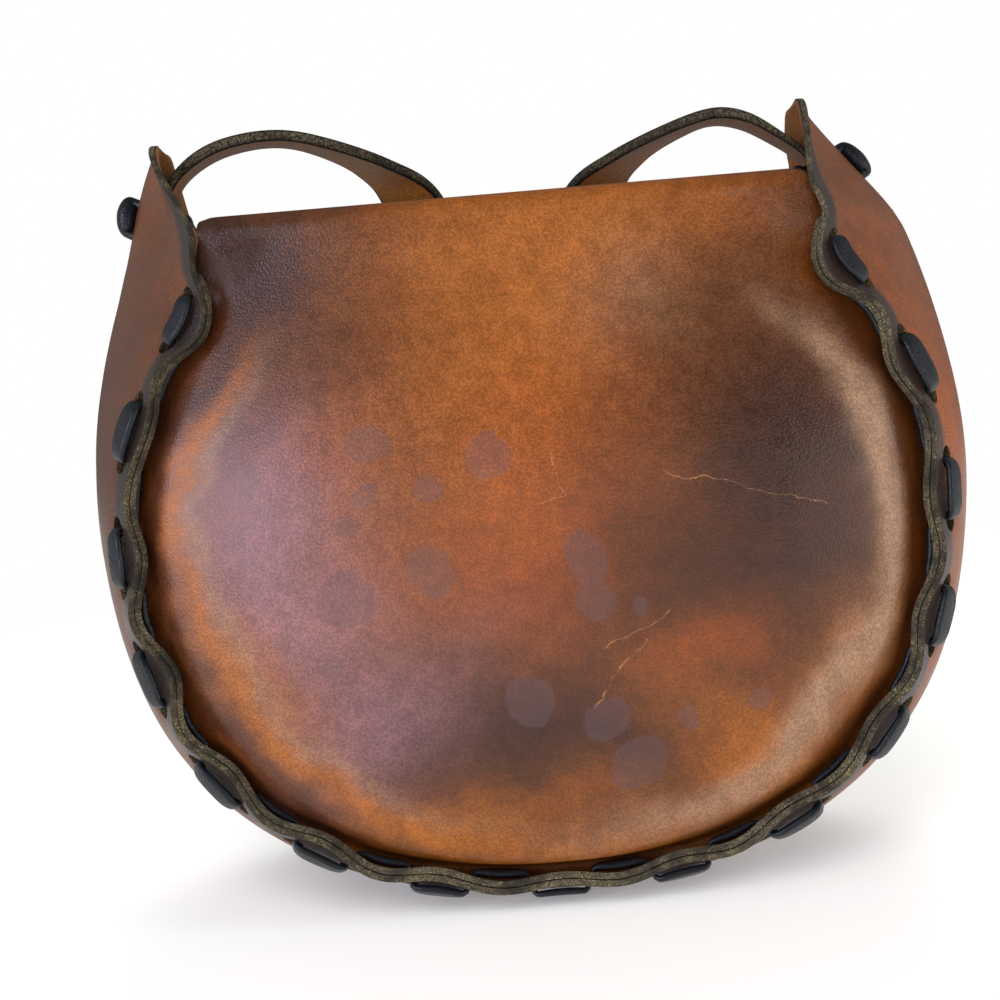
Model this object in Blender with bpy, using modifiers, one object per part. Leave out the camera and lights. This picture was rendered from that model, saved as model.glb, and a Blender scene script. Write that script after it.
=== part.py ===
"""Leather shoulder bag: two moulded panels laced to a bellied gusset, with a flap and a shoulder strap.

Metres, +Z up. X runs along the width and Y through the depth; the back panel faces -Y and the flap closes
over +Y. The bag stands on Z = 0, centred on the Z axis.
"""

import math

import bmesh
import bpy
from mathutils import Matrix, Vector
from mathutils.geometry import interpolate_bezier

# Overall shape of the rim, seen from the front

RIM_HALF_WIDTH = 0.132
RIM_WIDEST_HEIGHT = 0.132
RIM_BOTTOM = 0.0098
RIM_ROUNDNESS = 2.25
NECK_SETBACK = 0.033
NECK_HALF_WIDTH = RIM_HALF_WIDTH - NECK_SETBACK
NECK_RISE = 0.087
NECK_HEIGHT = RIM_WIDEST_HEIGHT + NECK_RISE
SEAM_ABOVE_NECK = 0.005
SEAM_TOP_HEIGHT = NECK_HEIGHT + SEAM_ABOVE_NECK
TAB_LENGTH = 0.056
TAB_HEIGHT = NECK_HEIGHT + TAB_LENGTH
TAB_FLARE = 0.0165
TAB_TIP_HALF_WIDTH = NECK_HALF_WIDTH + TAB_FLARE
TAB_WAIST_SHARE = 0.45
TAB_WAIST_RUN_SHARE = 0.5
TAB_FLATTENING_POWER = 3
EDGE_HALF_DEPTH = 0.048

# Belly of the gusset at mid depth

BELLY_REACH = 0.025
BELLY_HALF_WIDTH = RIM_HALF_WIDTH + BELLY_REACH
BELLY_ABOVE_RIM = 0.026
BELLY_WIDEST_HEIGHT = RIM_WIDEST_HEIGHT + BELLY_ABOVE_RIM
BELLY_DROP = 0.004
BELLY_ROUNDNESS = 2.12
BELLY_FOOT_SWING_SHARE = 0.8
BELLY_SHOULDER_REACH = 0.009
BELLY_SHOULDER_HALF_WIDTH = RIM_HALF_WIDTH + BELLY_SHOULDER_REACH
BELLY_SHOULDER_DROP = 0.037
BELLY_SHOULDER_HEIGHT = TAB_HEIGHT - BELLY_SHOULDER_DROP

# Leather

PLY = 0.0028
SEAM_GAP = 0.0003
FLAT_GAP = 0.0004

# Laced seam

OUTER_STITCHES = 15
WAVE_HEIGHT = 0.0032
FLANGE_HEIGHT = 0.012
HOLE_INSET = 0.0066
HOLE_SIZE = 0.0064
HOLE_LENGTH = 0.0076
GROOVE_RADIUS = 0.005
LEAN_AT_BOTTOM = math.radians(20)
LEAN_AT_SIDE = math.radians(47)
LEAN_AT_TOP = math.radians(56)
LEAN_SIDE_SHARE = 0.5
LEAN_TOP_START_SHARE = 0.6
LACE_WIDTH = 0.0072
LACE_WIDTH_IN_HOLE = 0.0044
LACE_THICKNESS = 0.0024
LACE_CLEARANCE = 0.0005
LACE_HALF_CROSSING = 0.0015
LACE_BULGE = 0.0012
LACE_TAIL = 0.0028

# Panels

DOME_PROUD = 0.0035
DOME_FLANK = 0.036
DOME_CROWN = 0.0015
FOLD_SETBACK = 0.005
FOLD_HALF_WIDTH = NECK_HALF_WIDTH - FOLD_SETBACK
FOLD_ABOVE_NECK = 0.018
FOLD_HEIGHT = NECK_HEIGHT + FOLD_ABOVE_NECK
FOLD_RADIUS = 0.006
FOLD_INSET = 0.007
FOLD_HALF_DEPTH = EDGE_HALF_DEPTH - FOLD_INSET
FOLD_BLEND = 0.026
FOLD_HINGE_TURN = math.pi / 4
HINGE_SETBACK = 0.0019
FRONT_TOP_BELOW_NECK = 0.007
FRONT_TOP_HEIGHT = NECK_HEIGHT - FRONT_TOP_BELOW_NECK
FRONT_TOP_DIP = 0.012

# Flap

FLAP_SIDE_GAP = 0.0005
FLAP_HALF_WIDTH = FOLD_HALF_WIDTH - FLAP_SIDE_GAP
FLAP_SLOPE_DROP = 0.004
FLAP_FRONT_RADIUS = 0.015
FLAP_LENGTH = 0.155
FLAP_BOTTOM_HEIGHT = FOLD_HEIGHT - FLAP_LENGTH
FLAP_EDGE_ROUNDING = 0.0011
FLAP_CORNER_POWER = 2.6
EDGE_ANGLE = math.radians(60)

# Strap, tied inside the tabs

STRAP_WIDTH = 0.028
STRAP_THICKNESS = 0.0032
STRAP_STANDOFF = 0.0046
TIE_DROP = 0.025
TIE_HEIGHT = TAB_HEIGHT - TIE_DROP
STRAP_TAIL = 0.011
STRAP_END_HEIGHT = TIE_HEIGHT - STRAP_TAIL
STRAP_PEAK_DROP = 0.0045
STRAP_PEAK_HEIGHT = TAB_HEIGHT - STRAP_PEAK_DROP
STRAP_STRAND_HALF_GAP = 0.026
STRAP_LOOP_BOTTOM = 0.016

# Thong ties that hold the strap to the tabs

TIE_RADIUS = 0.0017
TIE_HALF_SPAN = 0.0058
TIE_HOLE_RADIUS = 0.0021
TIE_KNOT_RADIUS = 0.0032
TIE_WRAP_RADIUS = 0.0030
TIE_BOW = 0.0032

# Mesh densities and small helpers' counts

RIM_SAMPLES = 60
TAB_STATIONS = 6
TAB_LAST_TURN_SHARE = 0.87
GROOVE_STEPS = 3
BELLY_STEPS = 3
FLAP_COLUMNS = 12
STRAP_STATIONS_PER_SIDE = 26
STRAP_CROWDING = 1.3
CUTTER_SIDES = 8
CUTTER_OVERRUN = 0.004
WELD_DISTANCE = 0.00001

COLORS = {
    "leather": (0.265, 0.082, 0.024),
    "lace": (0.010, 0.010, 0.012),
    "strap": (0.105, 0.045, 0.018),
}


def smoothstep(value):
    """0 below 0, 1 above 1 and a smooth step between."""
    t = min(max(value, 0.0), 1.0)
    return t * t * (3 - 2 * t)


def mix(a, b, share):
    return a + (b - a) * share


def super_quarter(half_width, top, bottom, power, angle):
    """Point of a rounded quarter outline: angle 0 is the bottom centre and a right angle the widest place."""
    x = half_width * math.sin(angle) ** (2 / power)
    z = top - (top - bottom) * math.cos(angle) ** (2 / power)
    return Vector((x, 0, z))


def half_outline(half_width, widest, bottom, power, upper_beziers):
    """Outline from the bottom centre up to the tab tip, as a list of points in the XZ plane."""
    points = []
    for i in range(RIM_SAMPLES):
        points.append(super_quarter(half_width, widest, bottom, power, i / RIM_SAMPLES * math.pi / 2))
    for bezier in upper_beziers:
        handles = [Vector((x, 0, z)) for x, z in bezier]
        points.extend(interpolate_bezier(*handles, RIM_SAMPLES)[:-1])
    points.append(Vector((upper_beziers[-1][3][0], 0, upper_beziers[-1][3][1])))
    return points


def rim_curves():
    """Matching samples of the seam edge and of the belly's mid line, from the bottom centre to the tab tip."""
    lower_handle_share = 0.60
    upper_handle_share = 0.22
    to_neck = (
        (RIM_HALF_WIDTH, RIM_WIDEST_HEIGHT),
        (RIM_HALF_WIDTH, RIM_WIDEST_HEIGHT + lower_handle_share * NECK_RISE),
        (NECK_HALF_WIDTH, NECK_HEIGHT - upper_handle_share * NECK_RISE),
        (NECK_HALF_WIDTH, NECK_HEIGHT),
    )
    handle_share = 0.33
    to_tip = (
        (NECK_HALF_WIDTH, NECK_HEIGHT),
        (NECK_HALF_WIDTH, NECK_HEIGHT + handle_share * TAB_LENGTH),
        (mix(NECK_HALF_WIDTH, TAB_TIP_HALF_WIDTH, 1 - handle_share), TAB_HEIGHT - handle_share * TAB_LENGTH),
        (TAB_TIP_HALF_WIDTH, TAB_HEIGHT),
    )
    edge = half_outline(RIM_HALF_WIDTH, RIM_WIDEST_HEIGHT, RIM_BOTTOM, RIM_ROUNDNESS, (to_neck, to_tip))
    belly_rise = TAB_HEIGHT - BELLY_WIDEST_HEIGHT
    belly_handle_share = 0.29
    to_belly_tip = (
        (BELLY_HALF_WIDTH, BELLY_WIDEST_HEIGHT),
        (BELLY_HALF_WIDTH, BELLY_WIDEST_HEIGHT + belly_handle_share * belly_rise),
        (BELLY_SHOULDER_HALF_WIDTH, BELLY_SHOULDER_HEIGHT),
        (TAB_TIP_HALF_WIDTH, TAB_HEIGHT),
    )
    belly = half_outline(BELLY_HALF_WIDTH, BELLY_WIDEST_HEIGHT, -BELLY_DROP, BELLY_ROUNDNESS, (to_belly_tip,))
    belly = resample(belly, match_heights=edge)
    return edge, belly


def resample(points, match_heights):
    """The points of an outline at the share of its length that each sample of the other outline has of its own,
    shifted towards equal heights above the widest place."""
    own = lengths(points)
    other = lengths(match_heights)
    out = []
    for sample, run in zip(match_heights, other):
        by_share = at_length(points, own, run / other[-1] * own[-1])
        if sample.z > BELLY_WIDEST_HEIGHT:
            by_height = at_height(points, sample.z)
            blend = smoothstep((sample.z - BELLY_WIDEST_HEIGHT) / (NECK_HEIGHT - BELLY_WIDEST_HEIGHT))
            by_share = by_share.lerp(by_height, blend)
        out.append(by_share)
    return out


def lengths(points):
    """Running length of an open polyline."""
    runs = [0.0]
    for a, b in zip(points, points[1:]):
        runs.append(runs[-1] + (b - a).length)
    return runs


def at_length(points, runs, run):
    """Point of a polyline at a running length, run on in a straight line past its end."""
    index = 1
    while index < len(points) - 1 and runs[index] < run:
        index += 1
    share = (run - runs[index - 1]) / (runs[index] - runs[index - 1])
    return points[index - 1].lerp(points[index], share)


def at_height(points, height):
    """Point at a height on the rising half of an outline."""
    for a, b in zip(points, points[1:]):
        if a.z <= height <= b.z and b.z > a.z:
            return a.lerp(b, (height - a.z) / (b.z - a.z))
    return points[-1].copy()


class Rim:
    """The seam's edge line, its outward normal and the belly line beside it, by running length s.
    s is 0 at the bottom centre, negative on the left, and seam_end where the panels leave the seam."""

    def __init__(self):
        self.edge, self.belly = rim_curves()
        self.runs = lengths(self.edge)
        self.tip_run = self.runs[-1]
        seam_top = at_height_run(self.edge, self.runs, SEAM_TOP_HEIGHT)
        self.half_wave = seam_top / OUTER_STITCHES
        self.seam_end = seam_top

    def side(self, s):
        return -1.0 if s < 0 else 1.0

    def edge_point(self, s):
        p = at_length(self.edge, self.runs, abs(s))
        return Vector((self.side(s) * p.x, 0, p.z))

    def belly_point(self, s):
        p = at_length(self.belly, self.runs, abs(s))
        return Vector((self.side(s) * p.x, 0, p.z))

    def normal(self, s):
        step = self.half_wave / 2
        if abs(s) < step:
            a, b = self.edge_point(-step), self.edge_point(step)
        else:
            a = self.edge_point(s - step)
            b = self.edge_point(s + step)
        tangent = (b - a).normalized()
        return Vector((tangent.z, 0, -tangent.x))

    def lean(self, s):
        share = abs(s) / self.seam_end
        at_side = smoothstep(share / LEAN_SIDE_SHARE)
        at_top = smoothstep((share - LEAN_TOP_START_SHARE) / (1 - LEAN_TOP_START_SHARE))
        return mix(mix(LEAN_AT_BOTTOM, LEAN_AT_SIDE, at_side), LEAN_AT_TOP, at_top)

    def wave(self, s, inset):
        """How far the flange waves outward at a distance inset from its edge: inward behind each outer stitch."""
        fade = 1 - smoothstep((abs(s) - self.seam_end) / self.half_wave)
        height = WAVE_HEIGHT * max(0.0, 1 - inset / FLANGE_HEIGHT) * fade
        return -height * math.cos(math.pi * s / self.half_wave)

    def section_point(self, s, outward, towards, face):
        """World point beside the edge line: outward in the rim's plane, and towards the viewer of that face.
        face is -1 for the back and 1 for the front."""
        beside_edge = self.edge_point(s) + self.normal(s) * outward
        p = self.belly_point(s).lerp(beside_edge, self.flat_share(s))
        p.y = face * (EDGE_HALF_DEPTH * self.depth_share(s) + towards)
        return p

    def beyond_share(self, s):
        """0 along the seam, rising to 1 at the tab's tip."""
        return max(0.0, (abs(s) - self.seam_end) / (self.tip_run - self.seam_end))

    def waist_share(self, s):
        """How much of the gusset's depth is left where it draws in above the seam."""
        return mix(1.0, TAB_WAIST_SHARE, smoothstep(self.beyond_share(s) / TAB_WAIST_RUN_SHARE))

    def flat_share(self, s):
        """How far the tab's edges still stand in from its mid line: it flattens faster than it draws in."""
        return self.waist_share(s) ** TAB_FLATTENING_POWER

    def depth_share(self, s):
        """The tab draws in above the seam, then rounds off as an ellipse at its tip."""
        beyond = self.beyond_share(s)
        return math.sqrt(max(0.0, 1 - beyond * beyond)) * self.waist_share(s)

    def flange_point(self, s, inset, offset, face):
        """Point of a sheet that follows the flange, offset to its outer side, inset from its edge."""
        lean = self.lean(s)
        inset = inset * self.depth_share(s)
        outward = inset * math.sin(lean) + self.wave(s, inset) + offset * math.cos(lean)
        towards = -inset * math.cos(lean) + offset * math.sin(lean)
        return self.section_point(s, outward, towards, face)


def at_height_run(points, runs, height):
    """Running length at which an outline first rises through a height above its widest place."""
    for index in range(1, len(points)):
        a, b = points[index - 1], points[index]
        if a.z <= height <= b.z and a.z > RIM_WIDEST_HEIGHT:
            share = (height - a.z) / (b.z - a.z)
            return mix(runs[index - 1], runs[index], share)
    return runs[-1]


RIM = Rim()
WAVE_SLOPE = math.atan(math.pi * WAVE_HEIGHT / RIM.half_wave)
PLY_OFFSET = (PLY + SEAM_GAP) / 2 / math.cos(WAVE_SLOPE)
FLANGE_INSETS = (0.0, HOLE_INSET - HOLE_SIZE / 2, HOLE_INSET + HOLE_SIZE / 2)


# Where the stations lie along the seam

def peak_stations():
    """One station at each crest and trough of the seam's wave."""
    return [i * RIM.half_wave for i in range(-OUTER_STITCHES, OUTER_STITCHES + 1)]


def hole_stations():
    """The middle of each lace hole, halfway between crest and trough."""
    return [(i + 0.5) * RIM.half_wave for i in range(-OUTER_STITCHES, OUTER_STITCHES)]


def tab_stations():
    """Stations from the end of the seam to the tab's tip, evenly turned round its ellipse."""
    out = []
    for i in range(1, TAB_STATIONS + 1):
        turn = math.sin(i / TAB_STATIONS * TAB_LAST_TURN_SHARE * math.pi / 2)
        out.append(mix(RIM.seam_end, RIM.tip_run, turn))
    return out


# Building sheets

def new_object(name, mesh, collection, material):
    mesh.shade_smooth()
    obj = bpy.data.objects.new(name, mesh)
    collection.objects.link(obj)
    obj.data.materials.append(material)
    return obj


def thicken(obj, thickness):
    """Gives an open sheet its thickness, half to each side."""
    mod = obj.modifiers.new("thickness", "SOLIDIFY")
    mod.thickness = thickness
    mod.offset = 0
    mod.use_even_offset = True
    mod.use_quality_normals = True
    return obj


def sheet_from_rows(name, rows, skip=()):
    """Mesh of quads between rows of points; skip names the quads that stay open as (row, column)."""
    mesh = bpy.data.meshes.new(name)
    bm = bmesh.new()
    verts = [[bm.verts.new(p) for p in row] for row in rows]
    for r in range(len(rows) - 1):
        for c in range(len(rows[r]) - 1):
            if (r, c) not in skip:
                bm.faces.new((verts[r][c], verts[r][c + 1], verts[r + 1][c + 1], verts[r + 1][c]))
    bm.normal_update()
    bm.to_mesh(mesh)
    bm.free()
    return mesh


class SeamSheet:
    """A sheet whose flange is meshed finely round the lace holes and whose body is meshed at the wave's peaks."""

    def __init__(self):
        self.bm = bmesh.new()
        self.peaks = peak_stations()

    def fine_stations(self):
        """Crests, troughs and both sides of each hole, in order along the seam."""
        out = [(self.peaks[0], None)]
        for hole, peak in zip(hole_stations(), self.peaks[1:]):
            out.append((hole - HOLE_LENGTH / 2, "hole start"))
            out.append((hole + HOLE_LENGTH / 2, "hole end"))
            out.append((peak, None))
        return out

    def add_row(self, points):
        return [self.bm.verts.new(p) for p in points]

    def face(self, verts, flip):
        self.bm.faces.new(tuple(reversed(verts)) if flip else tuple(verts))

    def flange(self, offset, face, flip, before=(), after=()):
        """The three fine rows, with their holes open. before and after are stations past the seam's ends."""
        stations = [(s, None) for s in before] + self.fine_stations() + [(s, None) for s in after]
        rows = []
        for inset in FLANGE_INSETS:
            rows.append(self.add_row(RIM.flange_point(s, inset, offset, face) for s, _ in stations))
        for r in range(len(rows) - 1):
            for c in range(len(stations) - 1):
                is_hole = r == 1 and stations[c][1] == "hole start"
                if not is_hole:
                    quad = (rows[r][c], rows[r][c + 1], rows[r + 1][c + 1], rows[r + 1][c])
                    self.face(quad, flip)
        return rows[-1]

    def join_fine_to_coarse(self, fine, coarse, flip, lead):
        """Faces from the fine row to a row that has one vertex a peak. lead is how many vertices both rows
        have before the seam, and again after it."""
        waves = len(self.peaks) - 1
        for i in range(lead):
            self.face((fine[i], fine[i + 1], coarse[i + 1], coarse[i]), flip)
        for i in range(waves):
            f = lead + 3 * i
            c = lead + i
            self.face((fine[f], fine[f + 1], coarse[c]), flip)
            self.face((fine[f + 1], fine[f + 2], coarse[c + 1], coarse[c]), flip)
            self.face((fine[f + 2], fine[f + 3], coarse[c + 1]), flip)
        for i in range(lead):
            f = lead + 3 * waves + i
            c = lead + waves + i
            self.face((fine[f], fine[f + 1], coarse[c + 1], coarse[c]), flip)

    def join(self, row, next_row, flip):
        for i in range(len(row) - 1):
            self.face((row[i], row[i + 1], next_row[i + 1], next_row[i]), flip)

    def finish(self, name):
        mesh = bpy.data.meshes.new(name)
        self.bm.normal_update()
        self.bm.to_mesh(mesh)
        self.bm.free()
        return mesh


# Gusset

def gusset_section(s, face):
    """Coarse points of the gusset from the foot of one flange to just short of mid depth."""
    foot = RIM.flange_point(s, FLANGE_HEIGHT, PLY_OFFSET, face)
    belly = RIM.belly_point(s)
    reach = Vector((belly.x - foot.x, 0, belly.z - foot.z))
    start_slope = RIM.normal(s) * math.tan(RIM.lean(s)) * abs(foot.y) * BELLY_FOOT_SWING_SHARE
    points = []
    for i in range(BELLY_STEPS):
        v = i / BELLY_STEPS
        rise = v * v * (3 - 2 * v)
        swing = v * (1 - v) * (1 - v)
        p = Vector((foot.x, 0, foot.z)) + reach * rise + start_slope * swing
        points.append(Vector((p.x, foot.y * (1 - v), max(p.z, PLY / 2))))
    return points


def belly_row():
    stations = gusset_stations()
    out = []
    for s in stations:
        p = RIM.belly_point(s)
        out.append(Vector((p.x, 0, max(p.z, PLY / 2))))
    return out


def gusset_stations():
    after = tab_stations()
    before = [-s for s in reversed(after)]
    return before + peak_stations() + after


def make_gusset(collection, material):
    """One strip that bellies out between the panels and ends in two rounded tabs above the seam."""
    sheet = SeamSheet()
    after = tab_stations()
    before = [-s for s in reversed(after)]
    lead = len(after)
    middle = sheet.add_row(belly_row())
    for face in (-1, 1):
        flip = face > 0
        fine = sheet.flange(PLY_OFFSET, face, flip, before, after)
        sections = [gusset_section(s, face) for s in gusset_stations()]
        rows = []
        for i in range(BELLY_STEPS):
            rows.append(sheet.add_row(section[i] for section in sections))
        sheet.join_fine_to_coarse(fine, rows[0], flip, lead)
        for row, next_row in zip(rows, rows[1:]):
            sheet.join(row, next_row, flip)
        sheet.join(rows[-1], middle, flip)
    gusset = new_object("gusset", sheet.finish("gusset"), collection, material)
    return thicken(gusset, PLY)


# Panels

def groove_points(s, face):
    """The panel's foot of the flange and its turn round the groove, as points down to the valley."""
    lean = RIM.lean(s)
    foot_out = FLANGE_HEIGHT * math.sin(lean) - PLY_OFFSET * math.cos(lean)
    foot_towards = -FLANGE_HEIGHT * math.cos(lean) - PLY_OFFSET * math.sin(lean)
    centre_out = foot_out - GROOVE_RADIUS * math.cos(lean)
    centre_towards = foot_towards - GROOVE_RADIUS * math.sin(lean)
    points = []
    for i in range(GROOVE_STEPS + 1):
        angle = mix(lean, -math.pi / 2, i / GROOVE_STEPS)
        outward = centre_out + GROOVE_RADIUS * math.cos(angle)
        towards = centre_towards + GROOVE_RADIUS * math.sin(angle)
        points.append(RIM.section_point(s, outward, towards, face))
    return points


def distance_to_outline(x, z, outline):
    """Least distance in the XZ plane from a point to the valley's outline."""
    point = Vector((x, z))
    best = None
    for a, b in zip(outline, outline[1:]):
        start = Vector((a.x, a.z))
        along = Vector((b.x, b.z)) - start
        t = min(max((point - start).dot(along) / along.length_squared, 0.0), 1.0)
        gap = (point - start - along * t).length
        best = gap if best is None else min(best, gap)
    return best


def dome_depth(x, z, outline, valley_depth, blend_height, reach):
    """How far the panel lies from mid depth: up from the valley by a smooth flank, no wider than its reach,
    and to the fold's depth at the top."""
    away = distance_to_outline(x, z, outline)
    across = x / RIM_HALF_WIDTH
    up = (z - RIM_WIDEST_HEIGHT) / RIM_WIDEST_HEIGHT
    crown = DOME_CROWN * max(0.0, 1 - across * across - up * up)
    dome = EDGE_HALF_DEPTH + DOME_PROUD + crown
    target = mix(dome, FOLD_HALF_DEPTH, smoothstep((z - blend_height) / FOLD_BLEND))
    return mix(valley_depth, target, smoothstep(away / min(DOME_FLANK, reach)))


def make_panel(name, face, top_rows, top_height, collection, material):
    """A moulded panel: flange, groove, valley and dome, with rows at its top edge from top_rows."""
    sheet = SeamSheet()
    flip = face > 0
    fine = sheet.flange(-PLY_OFFSET, face, flip)
    stations = peak_stations()
    grooves = [groove_points(s, face) for s in stations]
    previous = sheet.add_row(groove[0] for groove in grooves)
    sheet.join_fine_to_coarse(fine, previous, flip, 0)
    for i in range(1, GROOVE_STEPS + 1):
        row = sheet.add_row(groove[i] for groove in grooves)
        sheet.join(previous, row, flip)
        previous = row
    outline = [groove[-1] for groove in grooves]
    tops = []
    for s in stations:
        share = (s / RIM.seam_end) ** 2
        x = RIM.side(s) * FOLD_HALF_WIDTH * share
        tops.append(Vector((x, 0, top_height(x))))
    blend_height = top_height(0) - FOLD_BLEND
    # Rows up the flank lie at shares of its width, and the body rows at shares of the way on to the top
    flank_shares = (0.25, 0.5, 0.8)
    body_shares = (0.36, 0.72)
    longest_flank_share = 0.5
    for index in range(len(flank_shares) + len(body_shares)):
        points = []
        for valley, top in zip(outline, tops):
            reach = math.hypot(top.x - valley.x, top.z - valley.z)
            even = (index + 1) / (len(flank_shares) + len(body_shares) + 1)
            if index < len(flank_shares):
                step = min(flank_shares[index] * DOME_FLANK / reach, even)
            else:
                flank_end = min(flank_shares[-1] * DOME_FLANK / reach, longest_flank_share)
                step = mix(flank_end, 1, body_shares[index - len(flank_shares)])
            x = mix(valley.x, top.x, step)
            z = mix(valley.z, top.z, step)
            depth = dome_depth(x, z, outline, abs(valley.y), blend_height, reach)
            points.append(Vector((x, face * depth, z)))
        row = sheet.add_row(points)
        sheet.join(previous, row, flip)
        previous = row
    for rise, depth in top_rows:
        row = sheet.add_row(Vector((top.x, face * depth, top.z + rise)) for top in tops)
        sheet.join(previous, row, flip)
        previous = row
    panel = new_object(name, sheet.finish(name), collection, material)
    return thicken(panel, PLY)


def fold_point(angle, outward=0.0):
    """Point of the top fold's bend in the YZ plane: angle 0 is its start at the back and a right angle its top."""
    radius = FOLD_RADIUS + outward
    y = -FOLD_HALF_DEPTH + FOLD_RADIUS - radius * math.cos(angle)
    z = FOLD_HEIGHT - FOLD_RADIUS + radius * math.sin(angle)
    return y, z


HINGE_Y, HINGE_Z = fold_point(FOLD_HINGE_TURN)


def make_back_panel(collection, material):
    bend_start = FOLD_HEIGHT - FOLD_RADIUS
    y, z = fold_point(FOLD_HINGE_TURN - HINGE_SETBACK / FOLD_RADIUS)
    top_rows = ((0.0, FOLD_HALF_DEPTH), (z - bend_start, -y))
    return make_panel("back_panel", -1, top_rows, lambda x: bend_start, collection, material)


def make_front_panel(collection, material):
    def top_height(x):
        return FRONT_TOP_HEIGHT + FRONT_TOP_DIP * abs(x / FOLD_HALF_WIDTH) ** 3

    return make_panel("front_panel", 1, ((0.0, FOLD_HALF_DEPTH),), top_height, collection, material)


# Flap

def flap_profile():
    """The flap's mid line in the YZ plane, from the hinge over the top and down the front."""
    fold_shares = (0, 0.5, 1)
    top_shares = (0.35, 0.7)
    bend_shares = (0, 0.34, 0.67, 1)
    drop_shares = (0.25, 0.5, 0.7, 0.85, 0.95, 1)
    points = []
    start = FOLD_HINGE_TURN - FLAP_EDGE_ROUNDING / FOLD_RADIUS
    for share in fold_shares:
        points.append(fold_point(mix(start, math.pi / 2, share)))
    front_depth = EDGE_HALF_DEPTH + DOME_PROUD + DOME_CROWN + PLY + FLAT_GAP
    bend_y = front_depth - FLAP_FRONT_RADIUS
    bend_top = FOLD_HEIGHT - FLAP_SLOPE_DROP
    back_y = points[-1][0]
    for share in top_shares:
        points.append((mix(back_y, bend_y, share), mix(FOLD_HEIGHT, bend_top, share)))
    for share in bend_shares:
        angle = share * math.pi / 2
        y = bend_y + FLAP_FRONT_RADIUS * math.sin(angle)
        z = bend_top - FLAP_FRONT_RADIUS * (1 - math.cos(angle))
        points.append((y, z))
    drop_top = points[-1][1]
    for share in drop_shares:
        points.append((front_depth, mix(drop_top, FLAP_BOTTOM_HEIGHT, share)))
    return points, drop_top


def make_flap(collection, material):
    """The flap: bends up out of the back panel, over the top and down the front, with a rounded lower edge."""
    profile, drop_top = flap_profile()
    rows = []
    least_share = 0.35
    for y, z in profile:
        fallen = max(0.0, (drop_top - z) / (drop_top - FLAP_BOTTOM_HEIGHT))
        width_share = mix(least_share, 1, (1 - fallen ** FLAP_CORNER_POWER) ** (1 / FLAP_CORNER_POWER))
        half_width = FLAP_HALF_WIDTH * width_share
        rows.append([
            Vector((mix(-half_width, half_width, c / FLAP_COLUMNS), y - HINGE_Y, z - HINGE_Z))
            for c in range(FLAP_COLUMNS + 1)
        ])
    flap = new_object("flap", sheet_from_rows("flap", rows), collection, material)
    flap.location = (0, HINGE_Y, HINGE_Z)
    thicken(flap, PLY)
    bevel = flap.modifiers.new("rounded edge", "BEVEL")
    bevel.width = FLAP_EDGE_ROUNDING
    bevel.segments = 2
    bevel.limit_method = "ANGLE"
    bevel.angle_limit = EDGE_ANGLE
    return flap


# Laces

def lace_stations():
    """(s, offset from the flange's mid line, width) along the lace, from one top end to the other. The lace
    lies flat at the bottom centre and bulges more towards the sides."""
    full_bulge_share = 0.4
    inner_bulge_share = 0.3
    ply_reach = PLY_OFFSET + PLY / 2 / math.cos(WAVE_SLOPE)
    rest = ply_reach + LACE_CLEARANCE + LACE_THICKNESS / 2
    holes = hole_stations()
    out = []
    tail = holes[0] - LACE_HALF_CROSSING - LACE_TAIL
    out.append((tail, -rest, LACE_WIDTH_IN_HOLE))
    for i, hole in enumerate(holes):
        goes_out = i % 2 == 0
        side = 1 if goes_out else -1
        out.append((hole - LACE_HALF_CROSSING, -side * rest, LACE_WIDTH_IN_HOLE))
        out.append((hole + LACE_HALF_CROSSING, side * rest, LACE_WIDTH_IN_HOLE))
        if i + 1 < len(holes):
            middle = (hole + holes[i + 1]) / 2
            swell = inner_bulge_share
            if goes_out:
                swell = smoothstep(abs(middle) / RIM.seam_end / full_bulge_share)
            out.append((middle, side * (rest + LACE_BULGE * swell), LACE_WIDTH))
    out.append((-tail, -rest, LACE_WIDTH_IN_HOLE))
    return out


def make_lace(name, face, collection, material):
    """One flat thong in running stitch, through every hole of the seam, with both ends tucked in the groove."""
    left, middle, right = [], [], []
    for s, offset, width in lace_stations():
        for row, shift in ((left, -width / 2), (middle, 0.0), (right, width / 2)):
            row.append(RIM.flange_point(s, HOLE_INSET + shift, offset, face))
    rows = [left, middle, right] if face < 0 else [right, middle, left]
    lace = new_object(name, sheet_from_rows(name, rows), collection, material)
    return thicken(lace, LACE_THICKNESS)


# Strap

def tab_slope():
    """Direction up the inside of the right tab at the tie, in the XZ plane, and its normal to the inside."""
    low = at_height(RIM.belly, TIE_HEIGHT - TIE_HALF_SPAN)
    high = at_height(RIM.belly, TIE_HEIGHT + TIE_HALF_SPAN)
    up = (high - low).normalized()
    return up, Vector((-up.z, 0, up.x))


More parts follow.
